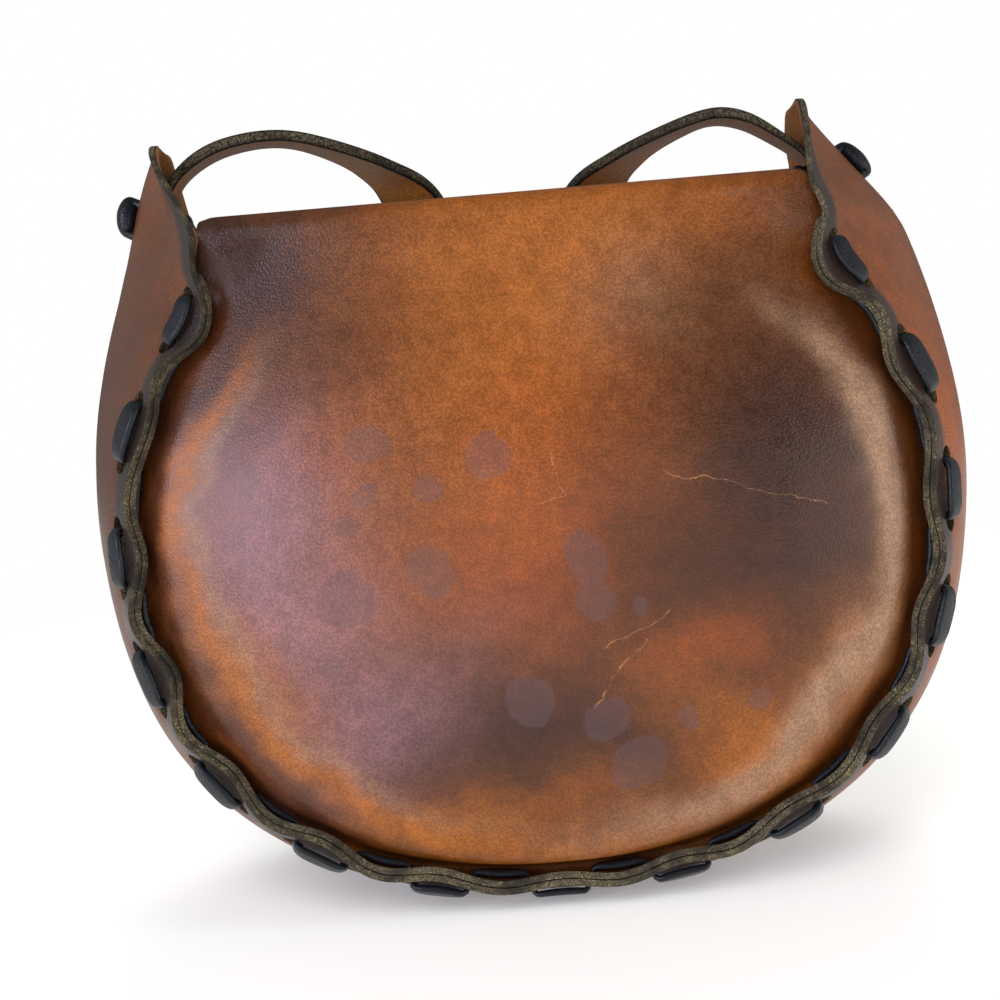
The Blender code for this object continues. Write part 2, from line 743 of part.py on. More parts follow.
def strap_route():
    """Mid line of the right half of the strap with its width directions, from the end below the tie to the
    bottom of the loop at the centre."""
    up, inward = tab_slope()
    seat = PLY / 2 + STRAP_STANDOFF + STRAP_THICKNESS / 2
    tie = at_height(RIM.belly, TIE_HEIGHT) + inward * seat
    end = tie + up * ((STRAP_END_HEIGHT - TIE_HEIGHT) / up.z)
    clear_of_tie = tie + up * (TIE_HALF_SPAN + TIE_KNOT_RADIUS)
    depth = Vector((0, 1, 0))
    width = Vector((1, 0, 0))
    points = [(end, depth), (tie, depth), (clear_of_tie, depth)]
    flap_front = EDGE_HALF_DEPTH + DOME_PROUD + DOME_CROWN + PLY + FLAT_GAP
    over = PLY / 2 + FLAT_GAP + STRAP_THICKNESS / 2
    hang_y = flap_front + over
    bend_top = FOLD_HEIGHT - FLAP_SLOPE_DROP
    drop_top = bend_top - FLAP_FRONT_RADIUS
    # Arch from the tab to the front bend: shares of the tie's half width, of the way forward to the hanging
    # place, of the rise from the flap's front bend to the peak, and of the turn of the width
    arch_shares = (
        (0.915, 0.00, 0.80, 0.00),
        (0.840, 0.01, 0.93, 0.01),
        (0.750, 0.04, 0.99, 0.04),
        (0.665, 0.09, 1.00, 0.08),
        (0.565, 0.19, 0.955, 0.17),
        (0.460, 0.34, 0.86, 0.32),
        (0.365, 0.53, 0.69, 0.52),
        (0.290, 0.74, 0.45, 0.74),
    )
    for x_share, y_share, z_share, turn_share in arch_shares:
        height = mix(bend_top + over, STRAP_PEAK_HEIGHT, z_share)
        place = Vector((tie.x * x_share, hang_y * y_share, height))
        points.append((place, depth.lerp(width, turn_share).normalized()))
    gap = STRAP_STRAND_HALF_GAP
    # Round the flap's front bend, halfway and at its end, in shares of the strand's half gap
    bend_gap_share, bend_turn_share = 1.1, 0.93
    drop_gap_share = 1.02
    bend_reach = (FLAP_FRONT_RADIUS + 2 * over) * math.sqrt(0.5)
    bend_y = flap_front - FLAP_FRONT_RADIUS + bend_reach
    bend_place = Vector((gap * bend_gap_share, bend_y, drop_top + bend_reach))
    points.append((bend_place, depth.lerp(width, bend_turn_share).normalized()))
    points.append((Vector((gap * drop_gap_share, hang_y + FLAT_GAP, drop_top)), width))
    # Hanging strand: shares of the height of the bend, of the strand's half gap, of how far its edge stands
    # forward as it turns, and of that turn
    strand_shares = (
        (0.62, 1.00, 0.20, 0.00),
        (0.42, 1.00, 0.55, 0.18),
        (0.27, 1.00, 0.95, 0.52),
        (0.17, 0.96, 1.05, 0.84),
        (0.10, 0.86, 1.05, 0.95),
        (0.050, 0.68, 1.05, 0.98),
        (0.014, 0.38, 1.05, 1.00),
        (0.0, 0.00, 1.05, 1.00),
    )
    for z_share, x_share, forward_share, turn_share in strand_shares:
        height = mix(STRAP_LOOP_BOTTOM, drop_top, z_share)
        place = Vector((gap * x_share, hang_y + forward_share * STRAP_WIDTH / 2, height))
        points.append((place, width.lerp(-depth, turn_share).normalized()))
    return points


def catmull(values, t):
    """Smooth curve through the values, at t counted in values."""
    index = min(int(t), len(values) - 2)
    u = t - index
    p1, p2 = values[index], values[index + 1]
    p0 = values[index - 1] if index > 0 else p1 * 2 - p2
    p3 = values[index + 2] if index + 2 < len(values) else p2 * 2 - p1
    return 0.5 * (2 * p1 + (p2 - p0) * u + (2 * p0 - 5 * p1 + 4 * p2 - p3) * u * u
                  + (3 * p1 - p0 - 3 * p2 + p3) * u * u * u)


def strap_stations():
    """Samples of the whole strap from the left end to the right end, closer together round the loop: mid point
    and width direction."""
    half = strap_route()
    places = [p for p, _ in half]
    widths = [w for _, w in half]
    mirror = Vector((-1, 1, 1))
    whole_places = [Vector(p * mirror) for p in places] + list(reversed(places))[1:]
    whole_widths = [Vector(w * mirror) for w in widths] + list(reversed(widths))[1:]
    dense = []
    steps = 12
    for i in range((len(whole_places) - 1) * steps + 1):
        t = i / steps
        dense.append((catmull(whole_places, t), catmull(whole_widths, t).normalized()))
    runs = lengths([p for p, _ in dense])
    total = runs[-1]
    out = []
    for i in range(-STRAP_STATIONS_PER_SIDE, STRAP_STATIONS_PER_SIDE + 1):
        share = math.copysign(abs(i / STRAP_STATIONS_PER_SIDE) ** STRAP_CROWDING, i)
        run = total * (1 + share) / 2
        index = 1
        while index < len(dense) - 1 and runs[index] < run:
            index += 1
        share = (run - runs[index - 1]) / (runs[index] - runs[index - 1])
        place = dense[index - 1][0].lerp(dense[index][0], share)
        width = dense[index - 1][1].lerp(dense[index][1], share).normalized()
        out.append((place, width))
    return out


def make_strap(collection, material):
    """One flat strap, tied inside both tabs, that goes up over the flap and hangs in a loop before it."""
    stations = strap_stations()
    pivot = strap_pivot()
    rows = [[], []]
    for index, (place, width) in enumerate(stations):
        ahead = stations[min(index + 1, len(stations) - 1)][0]
        behind = stations[max(index - 1, 0)][0]
        along = (ahead - behind).normalized()
        across = (width - along * width.dot(along)).normalized() * STRAP_WIDTH / 2
        rows[0].append(place - across - pivot)
        rows[1].append(place + across - pivot)
    strap = new_object("strap", sheet_from_rows("strap", rows), collection, material)
    strap.location = pivot
    return thicken(strap, STRAP_THICKNESS)


def strap_pivot():
    return Vector((0, 0, TIE_HEIGHT))


# Ties

def tie_path(side):
    """Thong from its knot inside the strap out through strap and tab, down the outside and back in."""
    up, inward = tab_slope()
    tie = at_height(RIM.belly, TIE_HEIGHT)
    inner = PLY / 2 + STRAP_STANDOFF + STRAP_THICKNESS + TIE_KNOT_RADIUS
    outer = PLY / 2 + TIE_RADIUS + FLAT_GAP
    high = tie + up * TIE_HALF_SPAN
    low = tie - up * TIE_HALF_SPAN
    tail = PLY / 2 + STRAP_STANDOFF + STRAP_THICKNESS + TIE_RADIUS
    between = PLY / 2 + STRAP_STANDOFF / 2
    wrap = TIE_WRAP_RADIUS / TIE_RADIUS
    knot = TIE_KNOT_RADIUS / TIE_RADIUS
    # Thickness at the knot's crown, at its foot, in the bow outside the tab and at the tail's tip
    crown_share, foot_share, bow_share, tip_share = 0.55, 0.6, 0.8, 0.8
    path = [
        (high + inward * (inner + TIE_KNOT_RADIUS / 2), knot * crown_share),
        (high + inward * inner, knot),
        (high + inward * (inner - TIE_KNOT_RADIUS * bow_share), knot * foot_share),
        (high + inward * between, 1.0),
        (high - inward * outer, 1.0),
        (tie - inward * (outer + TIE_BOW), wrap * bow_share),
        (low - inward * outer, 1.0),
        (low + inward * between, 1.0),
        (low + inward * tail, 1.0),
        (low + inward * (tail + 2 * TIE_RADIUS), tip_share),
    ]
    return [(Vector((side * p.x, p.y, p.z)), radius) for p, radius in path]


def make_tie(name, side, collection, material):
    curve = bpy.data.curves.new(name, "CURVE")
    curve.dimensions = "3D"
    curve.bevel_depth = TIE_RADIUS
    curve.bevel_resolution = 1
    curve.use_fill_caps = True
    path = tie_path(side)
    spline = curve.splines.new("POLY")
    spline.points.add(len(path) - 1)
    for point, (place, radius) in zip(spline.points, path):
        point.co = (*place, 1)
        point.radius = radius
    curve_object = bpy.data.objects.new(name + "_curve", curve)
    collection.objects.link(curve_object)
    mesh = mesh_of(curve_object, name)
    bpy.data.objects.remove(curve_object)
    return new_object(name, mesh, collection, material)


def mesh_of(obj, name):
    """The object's evaluated mesh with welded caps."""
    depsgraph = bpy.context.evaluated_depsgraph_get()
    mesh = bpy.data.meshes.new_from_object(obj.evaluated_get(depsgraph))
    mesh.name = name
    bm = bmesh.new()
    bm.from_mesh(mesh)
    bmesh.ops.remove_doubles(bm, verts=bm.verts, dist=WELD_DISTANCE)
    bmesh.ops.recalc_face_normals(bm, faces=bm.faces)
    bm.to_mesh(mesh)
    bm.free()
    return mesh


def cut_tie_holes(gusset, strap, cutters):
    """Two round holes in each tab and in each end of the strap, where the ties go through."""
    up, inward = tab_slope()
    tie = at_height(RIM.belly, TIE_HEIGHT)
    middle = (STRAP_STANDOFF + STRAP_THICKNESS) / 2
    length = PLY + STRAP_STANDOFF + STRAP_THICKNESS + 2 * CUTTER_OVERRUN
    for side in (-1, 1):
        for shift in (-TIE_HALF_SPAN, TIE_HALF_SPAN):
            place = tie + up * shift + inward * middle
            axis = Vector((side * inward.x, 0, inward.z))
            bm = bmesh.new()
            turn = axis.to_track_quat("Z", "Y").to_matrix().to_4x4()
            where = Matrix.Translation((side * place.x, 0, place.z)) @ turn
            bmesh.ops.create_cone(bm, cap_ends=True, segments=CUTTER_SIDES, radius1=TIE_HOLE_RADIUS,
                                  radius2=TIE_HOLE_RADIUS, depth=length, matrix=where)
            mesh = bpy.data.meshes.new("tie_hole")
            bm.to_mesh(mesh)
            bm.free()
            cutter = bpy.data.objects.new("tie_hole", mesh)
            cutters.objects.link(cutter)
            cutter.display_type = "WIRE"
            cutter.hide_render = True
            for target in (gusset, strap):
                mod = target.modifiers.new("tie hole", "BOOLEAN")
                mod.operation = "DIFFERENCE"
                mod.solver = "EXACT"
                mod.object = cutter


# Assembly

def make_material(name, color, roughness):
    material = bpy.data.materials.new(name)
    material.use_nodes = True
    shader = material.node_tree.nodes["Principled BSDF"]
    shader.inputs["Base Color"].default_value = (*color, 1)
    shader.inputs["Roughness"].default_value = roughness
    shader.inputs["Metallic"].default_value = 0
    return material


def clear_scene():
    for obj in list(bpy.data.objects):
        bpy.data.objects.remove(obj)


def main():
    clear_scene()
    bag = bpy.data.collections.new("leather_shoulder_bag")
    cutters = bpy.data.collections.new("cutters")
    bpy.context.scene.collection.children.link(bag)
    bpy.context.scene.collection.children.link(cutters)
    leather = make_material("saddle_leather", COLORS["leather"], 0.45)
    lace_leather = make_material("black_thong", COLORS["lace"], 0.5)
    strap_leather = make_material("strap_leather", COLORS["strap"], 0.5)
    gusset = make_gusset(bag, leather)
    make_back_panel(bag, leather)
    make_front_panel(bag, leather)
    make_flap(bag, leather)
    make_lace("back_lace", -1, bag, lace_leather)
    make_lace("front_lace", 1, bag, lace_leather)
    strap = make_strap(bag, strap_leather)
    make_tie("strap_tie_left", -1, bag, lace_leather)
    make_tie("strap_tie_right", 1, bag, lace_leather)
    cut_tie_holes(gusset, strap, cutters)


main()
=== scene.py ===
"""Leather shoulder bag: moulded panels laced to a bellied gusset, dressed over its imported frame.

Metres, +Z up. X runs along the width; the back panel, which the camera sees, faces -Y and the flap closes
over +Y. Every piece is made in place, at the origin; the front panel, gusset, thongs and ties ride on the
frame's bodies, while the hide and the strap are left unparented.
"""

import math

import bmesh
import bpy
import numpy as np
from bpy.props import FloatProperty, FloatVectorProperty, IntProperty, PointerProperty
from mathutils import Matrix, Vector, noise


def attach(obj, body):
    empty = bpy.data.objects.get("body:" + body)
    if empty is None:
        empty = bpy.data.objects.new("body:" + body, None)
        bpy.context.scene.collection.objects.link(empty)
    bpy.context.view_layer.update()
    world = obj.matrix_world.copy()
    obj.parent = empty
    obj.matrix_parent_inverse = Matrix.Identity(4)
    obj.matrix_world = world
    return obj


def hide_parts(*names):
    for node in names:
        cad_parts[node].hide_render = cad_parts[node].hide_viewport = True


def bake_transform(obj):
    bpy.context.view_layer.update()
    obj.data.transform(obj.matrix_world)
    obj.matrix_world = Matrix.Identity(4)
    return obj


bl_info = {
    "name": "Laced leather shoulder bag",
    "version": (1, 0, 0),
    "blender": (4, 5, 0),
    "location": "3D View > Sidebar > Bag",
    "description": "Builds the skins, thongs, strap and leathers of a laced shoulder bag",
    "category": "Object",
}

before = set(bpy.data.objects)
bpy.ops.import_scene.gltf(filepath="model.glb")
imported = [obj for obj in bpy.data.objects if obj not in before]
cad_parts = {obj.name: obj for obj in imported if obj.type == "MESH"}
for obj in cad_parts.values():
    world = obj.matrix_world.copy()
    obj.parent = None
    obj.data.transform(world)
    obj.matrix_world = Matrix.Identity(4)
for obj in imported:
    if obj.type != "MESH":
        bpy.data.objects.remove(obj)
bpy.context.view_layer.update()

MM = 0.001
# Material numbers of a ply, after its grain
FLESH, EDGE, CORNER = 1, 2, 3
# Between leathers that lie on one another
FLAT_GAP = 0.4 * MM


# Small helpers

def linear(hex_color):
    """An sRGB hex colour as linear RGB."""
    out = []
    for i in (1, 3, 5):
        value = int(hex_color[i:i + 2], 16) / 255
        out.append(value / 12.92 if value <= 0.04045 else ((value + 0.055) / 1.055) ** 2.4)
    return tuple(out)


def smoothstep(value):
    t = np.clip(value, 0, 1)
    return t * t * (3 - 2 * t)


def mix(a, b, share):
    return a + (b - a) * share


def unit(vectors):
    return vectors / np.maximum(np.linalg.norm(vectors, axis=-1, keepdims=True), 1e-12)


def soft_floor(height, floor, softness):
    """height where it is well above the floor, easing into the floor below it."""
    above = height - floor
    return floor + (above + np.sqrt(above * above + softness * softness)) / 2


def wander(points, wavelength, seed):
    """Smooth noise, about -1 to 1, at each point."""
    flat = points.reshape(-1, 3) / wavelength + seed
    values = [noise.noise(Vector(p)) for p in flat]
    return np.array(values).reshape(points.shape[:-1])


# Sizes and colours that a user would change

def length(name, description, default):
    return FloatProperty(name=name, description=description, default=default, unit="LENGTH", precision=4)


def tone(name, description, hex_color):
    return FloatVectorProperty(name=name, description=description, default=linear(hex_color), size=3,
                               subtype="COLOR", min=0, max=1)


class BagSizes(bpy.types.PropertyGroup):
    """Sizes of the bag. They match the frame, which is not resized here."""
    rim_half_width: length("Rim half width", "Half the width across the laced rim", 0.132)
    rim_widest: length("Rim widest height", "Height of the rim's widest place", 0.132)
    rim_bottom: length("Rim bottom", "Height of the rim's lowest place", 0.0098)
    neck_half_width: length("Neck half width", "Half the width between the necks below the tabs", 0.099)
    neck_height: length("Neck height", "Height of the narrowest place of the rim", 0.219)
    seam_top: length("Seam top", "Height at which the panels leave the seam", 0.224)
    tab_height: length("Tab height", "Height of the tabs' tips", 0.275)
    tab_half_width: length("Tab half width", "Half the width between the tabs' tips", 0.1155)
    edge_half_depth: length("Edge half depth", "Half the depth between the two rims", 0.048)
    belly_half_width: length("Belly half width", "Half the width over the gusset's belly", 0.157)
    belly_widest: length("Belly widest height", "Height of the belly's widest place", 0.158)
    belly_drop: length("Belly drop", "How far the belly would sag below the floor", 0.004)
    shoulder_half_width: length("Shoulder half width", "Half width of the belly's upper handle", 0.141)
    shoulder_height: length("Shoulder height", "Height of the belly's upper handle", 0.238)
    ply: length("Ply", "Thickness of the leather", 0.0021)
    seam_gap: length("Seam gap", "Gap between the two plies of the seam", 0.0001)
    wave_height: length("Wave height", "How far the lacing waves the flange to each side", 0.0032)
    flange_height: length("Flange height", "Height of the turned-out flange", 0.0106)
    hole_inset: length("Hole inset", "Distance of the lace holes from the cut edge", 0.0058)
    hole_half_length: length("Hole half length", "Half the lace hole along the seam", 0.0035)
    hole_half_width: length("Hole half width", "Half the lace hole across the flange", 0.0027)
    groove_radius: length("Groove radius", "Bend between flange and panel", 0.0034)
    dome_proud: length("Dome proud", "How far the moulded panel stands past the rim", 0.0035)
    dome_fillet: length("Dome fillet", "Width of the steep edge of the panel's dome", 0.0165)
    dome_foot: length("Dome foot", "Width of that edge at the bottom of the bag", 0.0085)
    dome_flank: length("Dome flank", "Width of the panel's moulded flank", 0.062)
    dome_crown: length("Dome crown", "Extra rise at the panel's middle", 0.0015)
    fold_half_width: length("Fold half width", "Half the width of the top fold", 0.0985)
    front_half_width: length("Front half width", "Half the width of the front panel's top edge", 0.094)
    fold_height: length("Fold height", "Height of the top fold", 0.237)
    fold_radius: length("Fold radius", "Bend of the top fold", 0.006)
    fold_half_depth: length("Fold half depth", "Distance of the fold from mid depth", 0.041)
    fold_blend: length("Fold blend", "Height over which the dome eases into the fold", 0.085)
    front_top: length("Front top", "Height of the front panel's edge at its middle", 0.212)
    front_dip: length("Front dip", "How much higher that edge is at its ends", 0.012)
    flap_half_width: length("Flap half width", "Half the width of the flap", 0.0975)
    flap_slope: length("Flap slope", "Drop of the flap's top towards the front", 0.004)
    flap_radius: length("Flap front radius", "Bend of the flap over the front", 0.015)
    flap_bottom: length("Flap bottom", "Height of the flap's lower edge", 0.082)
    strap_width: length("Strap width", "Width of the strap", 0.028)
    strap_thickness: length("Strap thickness", "Thickness of the strap", 0.0040)
    strap_standoff: length("Strap standoff", "Space between tab and strap at the tie", 0.0080)
    strap_peak_left: length("Left strap peak", "Height of the strap's left arch", 0.2785)
    strap_peak_right: length("Right strap peak", "Height of the strap's right arch", 0.2720)
    tab_shift: length("Tab shift", "How far the strap has pulled both tabs to the left", 0.0080)
    tab_tilt: length("Tab tilt", "How far the left tab is raised and the right one lowered", 0.0024)
    tab_opening: FloatProperty(name="Tab opening", default=0.34, min=0, max=1,
                               description="Slope by which the tabs' flap side bends outward")
    strap_tail: length("Strap tail", "How far the strap reaches below its tie", 0.0085)
    strap_gap: length("Strand half gap", "Half the distance between the hanging strands", 0.026)
    strap_loop: length("Loop bottom", "Height of the bottom of the strap's loop", 0.016)
    lace_width: length("Lace width", "Width of the thong where it lies outside", 0.0070)
    lace_thickness: length("Lace thickness", "Thickness of the thong", 0.0024)
    tie_height: length("Tie height", "Height of the ties on the tabs", 0.250)
    tie_half_span: length("Tie half span", "Half the distance between a tie's two holes", 0.0058)
    tie_radius: length("Tie radius", "Half the thickness of the tie", 0.0021)
    grain: length("Grain size", "Width of one pebble of the grain", 0.0008)
    stitches: IntProperty(name="Outer stitches", default=15, min=3,
                          description="Lace stitches outside each rim")


class BagColors(bpy.types.PropertyGroup):
    """Tones of the dyed and worn leather, and of the highlights, sheen and shade painted onto it."""
    saddle: tone("Saddle", "Main tone of the hide", "#7c410f")
    # Tan also paints light: bounce light along the bottom, highlights on the lower flanks and a lit stripe
    # beside the left groove
    tan: tone("Tan", "Worn golden places", "#a05a14")
    orange: tone("Orange", "Glowing middle of the panel", "#98490a")
    # Umber also paints shade in the groove beside the rim; umber and plum partly paint shade on the dome's
    # right-facing slope
    umber: tone("Umber", "Darkened corners", "#432413")
    plum: tone("Plum", "Darkest stains from handling", "#301b14")
    # Painted highlight: this pale tone stands for light on the moulding's shoulder and a sheen right of the
    # panel's middle
    rubbed: tone("Rubbed", "Pale rubbed shoulder of the moulding", "#9c7a60")
    # Painted sheen: this pale lavender tone stands for cool light reflected off the dome
    painted_sheen: tone("Bloom", "Pale wax bloom on the rubbed dome", "#8c6a76")
    edge_dye: tone("Edge dye", "Black dye of the rims", "#171413")
    edge_rubbed: tone("Rubbed edge", "Where the dye is rubbed off the rims", "#665c45")
    flesh: tone("Flesh side", "Unfinished inside of the leather", "#8a5a30")
    lace: tone("Lace", "Blue-black thong", "#0b0e12")
    strap: tone("Strap", "Brown of the strap", "#4a2c12")
    strap_flesh: tone("Strap underside", "Warm underside of the strap", "#8f5a20")
    stain: tone("Water stain", "Grey-violet water stains", "#48373a")
    scratch: tone("Scratch", "Pale scratches", "#b98555")
    scuff: tone("Scuff", "Grey scuffs on the thong", "#15191d")
    fray: tone("Fray", "Pale frayed fibres of cut edges", "#8f8467")


# Outline of the rim, in running length s from the bottom centre, negative on the left

class Rim:
    """The seam's edge line, its normal, its lean and its wave, all for arrays of running lengths."""
    samples = 220
    roundness, belly_roundness = 2.25, 2.12
    swing_share = 0.8
    waist, waist_run = 0.8, 0.5
    lean_bottom, lean_side, lean_top = math.radians(20), math.radians(47), math.radians(56)
    lean_tip = math.radians(6)
    # Where the back rim's waves are flatter: at which hole, over how many, and by what share
    calm_waves = ((-11.6, 1.5, 0.75), (11.0, 1.5, 0.45), (1.0, 5.5, 0.62), (7.5, 2.5, 0.3))

    def __init__(self, z):
        self.sizes = z
        rise = z.neck_height - z.rim_widest
        to_neck = ((z.rim_half_width, z.rim_widest),
                   (z.rim_half_width, z.rim_widest + 0.60 * rise),
                   (z.neck_half_width, z.neck_height - 0.22 * rise),
                   (z.neck_half_width, z.neck_height))
        tab = z.tab_height - z.neck_height
        to_tip = ((z.neck_half_width, z.neck_height),
                  (z.neck_half_width, z.neck_height + 0.33 * tab),
                  (mix(z.neck_half_width, z.tab_half_width, 0.67), z.tab_height - 0.33 * tab),
                  (z.tab_half_width, z.tab_height))
        edge = self.outline(self.roundness, z.rim_half_width, z.rim_widest, z.rim_bottom, (to_neck, to_tip))
        top = z.tab_height - z.belly_widest
        to_shoulder = ((z.belly_half_width, z.belly_widest),
                       (z.belly_half_width, z.belly_widest + 0.29 * top),
                       (z.shoulder_half_width, z.shoulder_height),
                       (z.tab_half_width, z.tab_height))
        belly = self.outline(self.belly_roundness, z.belly_half_width, z.belly_widest, -z.belly_drop,
                             (to_shoulder,))
        self.run = self.lengths(edge)
        self.tip = self.run[-1]
        self.seam_end = float(np.interp(z.seam_top, edge[:, 1], self.run))
        self.half_wave = self.seam_end / z.stitches
        beyond = edge[-1] + (edge[-1] - edge[-2]) * 20
        self.edge_line = np.vstack([edge, beyond])
        self.belly_line = self.matched(belly, edge)
        self.run = self.lengths(self.edge_line)
        slope = math.atan(math.pi * z.wave_height / self.half_wave)
        self.ply_offset = (z.ply + z.seam_gap) / 2 / math.cos(slope)

    def outline(self, roundness, half_width, widest, bottom, beziers):
        """A rounded quarter from the bottom centre, then bezier runs, as (x, z) rows."""
        turn = np.linspace(0, math.pi / 2, self.samples, endpoint=False)
        power = 2 / roundness
        rows = [np.stack([half_width * np.sin(turn) ** power,
                          widest - (widest - bottom) * np.cos(turn) ** power], -1)]
        t = np.linspace(0, 1, self.samples, endpoint=False)[:, None]
        for a, b, c, d in (np.array(h) for h in beziers):
            rows.append(a * (1 - t) ** 3 + 3 * b * t * (1 - t) ** 2 + 3 * c * t * t * (1 - t) + d * t ** 3)
        rows.append(np.array([beziers[-1][3]]))
        return np.vstack(rows)

    @staticmethod
    def lengths(line):
        return np.concatenate([[0], np.cumsum(np.linalg.norm(np.diff(line, axis=0), axis=1))])

    def matched(self, belly, edge):
        """The belly's points beside the edge's: by share of the length below, by height above."""
        own = self.lengths(belly)
        wanted = self.run / self.tip * own[-1]
        by_length = np.stack([np.interp(wanted, own, belly[:, 0]), np.interp(wanted, own, belly[:, 1])], -1)
        height = edge[:, 1]
        by_height = np.stack([np.interp(height, belly[:, 1], belly[:, 0]), height], -1)
        span = self.sizes.neck_height - self.sizes.belly_widest
        share = smoothstep((height - self.sizes.belly_widest) / span)[:, None]
        line = mix(by_length, by_height, share)
        return np.vstack([line, line[-1] + (line[-1] - line[-2]) * 20])

    def along(self, line, s):
        a = np.abs(s)
        x = np.interp(a, self.run, line[:, 0]) * np.where(s < 0, -1.0, 1.0)
        return x, np.interp(a, self.run, line[:, 1])

    def edge(self, s):
        return self.along(self.edge_line, s)

    def belly(self, s):
        return self.along(self.belly_line, s)

    def normal(self, s):
        step = self.half_wave / 2
        ax, az = self.edge(s - step)
        bx, bz = self.edge(s + step)
        size = np.hypot(bx - ax, bz - az)
        return (bz - az) / size, -(bx - ax) / size

    def lean(self, s):
        share = np.abs(s) / self.seam_end
        side = mix(self.lean_bottom, self.lean_side, smoothstep(share / 0.5))
        along_seam = mix(side, self.lean_top, smoothstep((share - 0.6) / 0.4))
        return mix(along_seam, self.lean_tip, smoothstep(self.beyond(s) / 0.9))

    def wave(self, s, inset, face):
        """How far the flange waves outward: inward behind each outer stitch, no two waves quite alike."""
        fade = 1 - smoothstep((np.abs(s) - self.seam_end) / self.half_wave)
        if face < 0:
            for middle, reach, calmed in self.calm_waves:
                away = (s / self.half_wave - middle) / reach
                fade = fade * (1 - calmed * np.exp(-away * away))
        pull = 1 + 0.15 * np.sin(s * 61 + 1.3 * face) + 0.10 * np.sin(s * 23 + 0.4)
        reach = np.maximum(0, 1 - inset / self.sizes.flange_height)
        shift = 0.9 * MM * np.sin(s * 47 + face)
        return -self.sizes.wave_height * pull * reach * fade * np.cos(math.pi * (s + shift) / self.half_wave)

    def beyond(self, s):
        """0 along the seam, rising to 1 at the tab's tip."""
        return np.clip((np.abs(s) - self.seam_end) / (self.tip - self.seam_end), 0, 1)

    def waist_share(self, s):
        """How much of the gusset's depth is left where it draws in above the seam."""
        return mix(1.0, self.waist, smoothstep(self.beyond(s) / self.waist_run))

    def depth_share(self, s):
        """The tab draws in above the seam, then rounds off as an ellipse at its tip."""
        return np.sqrt(1 - self.beyond(s) ** 2) * self.waist_share(s)

    def section(self, s, outward, towards, face):
        x, z = self.edge(s)
        nx, nz = self.normal(s)
        y = face * (self.sizes.edge_half_depth * self.depth_share(s) + towards)
        return np.stack([x + nx * outward, y, z + nz * outward], -1)

    def flange(self, s, inset, offset, face):
        """Points that follow the flange, offset to its outer side, inset from its cut edge."""
        s, inset, offset = np.broadcast_arrays(s, inset, offset)
        lean = self.lean(s)
        inset = inset * self.depth_share(s)
        outward = inset * np.sin(lean) + self.wave(s, inset, face) + offset * np.cos(lean)
        towards = -inset * np.cos(lean) + offset * np.sin(lean)
        return self.section(s, outward, towards, face)

    def holes(self):
        return (np.arange(-self.sizes.stitches, self.sizes.stitches) + 0.5) * self.half_wave


# Sheets with lace holes

HOLE_CELLS = 8
HOLE_BLOCK_HALF = 5.2 * MM
FLANGE_INSETS = np.array([0.0, 0.7, 1.4] + list(np.linspace(2.2, 10.2, HOLE_CELLS + 1)) + [10.6]) * MM
HOLE_FIRST_ROW = 3
# An inset past the reach of the edge dye
UNDYED = 1.0
# The panel's flange rounds off at the seam's two ends, over this run and by this much
CORNER_RUN, CORNER_CUT = 5.8 * MM, 6.0 * MM


def cut_round(rim, s, inset):
    """The inset, grown at the seam's two ends so that the panel's flange has rounded corners there."""
    near = np.clip((np.abs(s) - rim.seam_end) / CORNER_RUN + 1, 0, 1)
    cut = CORNER_CUT * (1 - np.sqrt(1 - near * near))
    return inset + cut * np.maximum(0, 1 - inset / rim.sizes.flange_height)


def seam_stations(rim):
    """Running lengths of the columns, and the first column of each hole's block."""
    out, firsts = [-rim.seam_end, -rim.seam_end + (rim.half_wave / 2 - HOLE_BLOCK_HALF) / 2], []
    for i, hole in enumerate(rim.holes()):
        firsts.append(len(out))
        out.extend(np.linspace(hole - HOLE_BLOCK_HALF, hole + HOLE_BLOCK_HALF, HOLE_CELLS + 1))
        if i + 1 < len(rim.holes()):
            gap = rim.half_wave - 2 * HOLE_BLOCK_HALF
            out.extend(out[-1] + gap * np.arange(1, 4) / 4)
    out.extend([rim.seam_end - (rim.half_wave / 2 - HOLE_BLOCK_HALF) / 2, rim.seam_end])
    return np.array(out), firsts


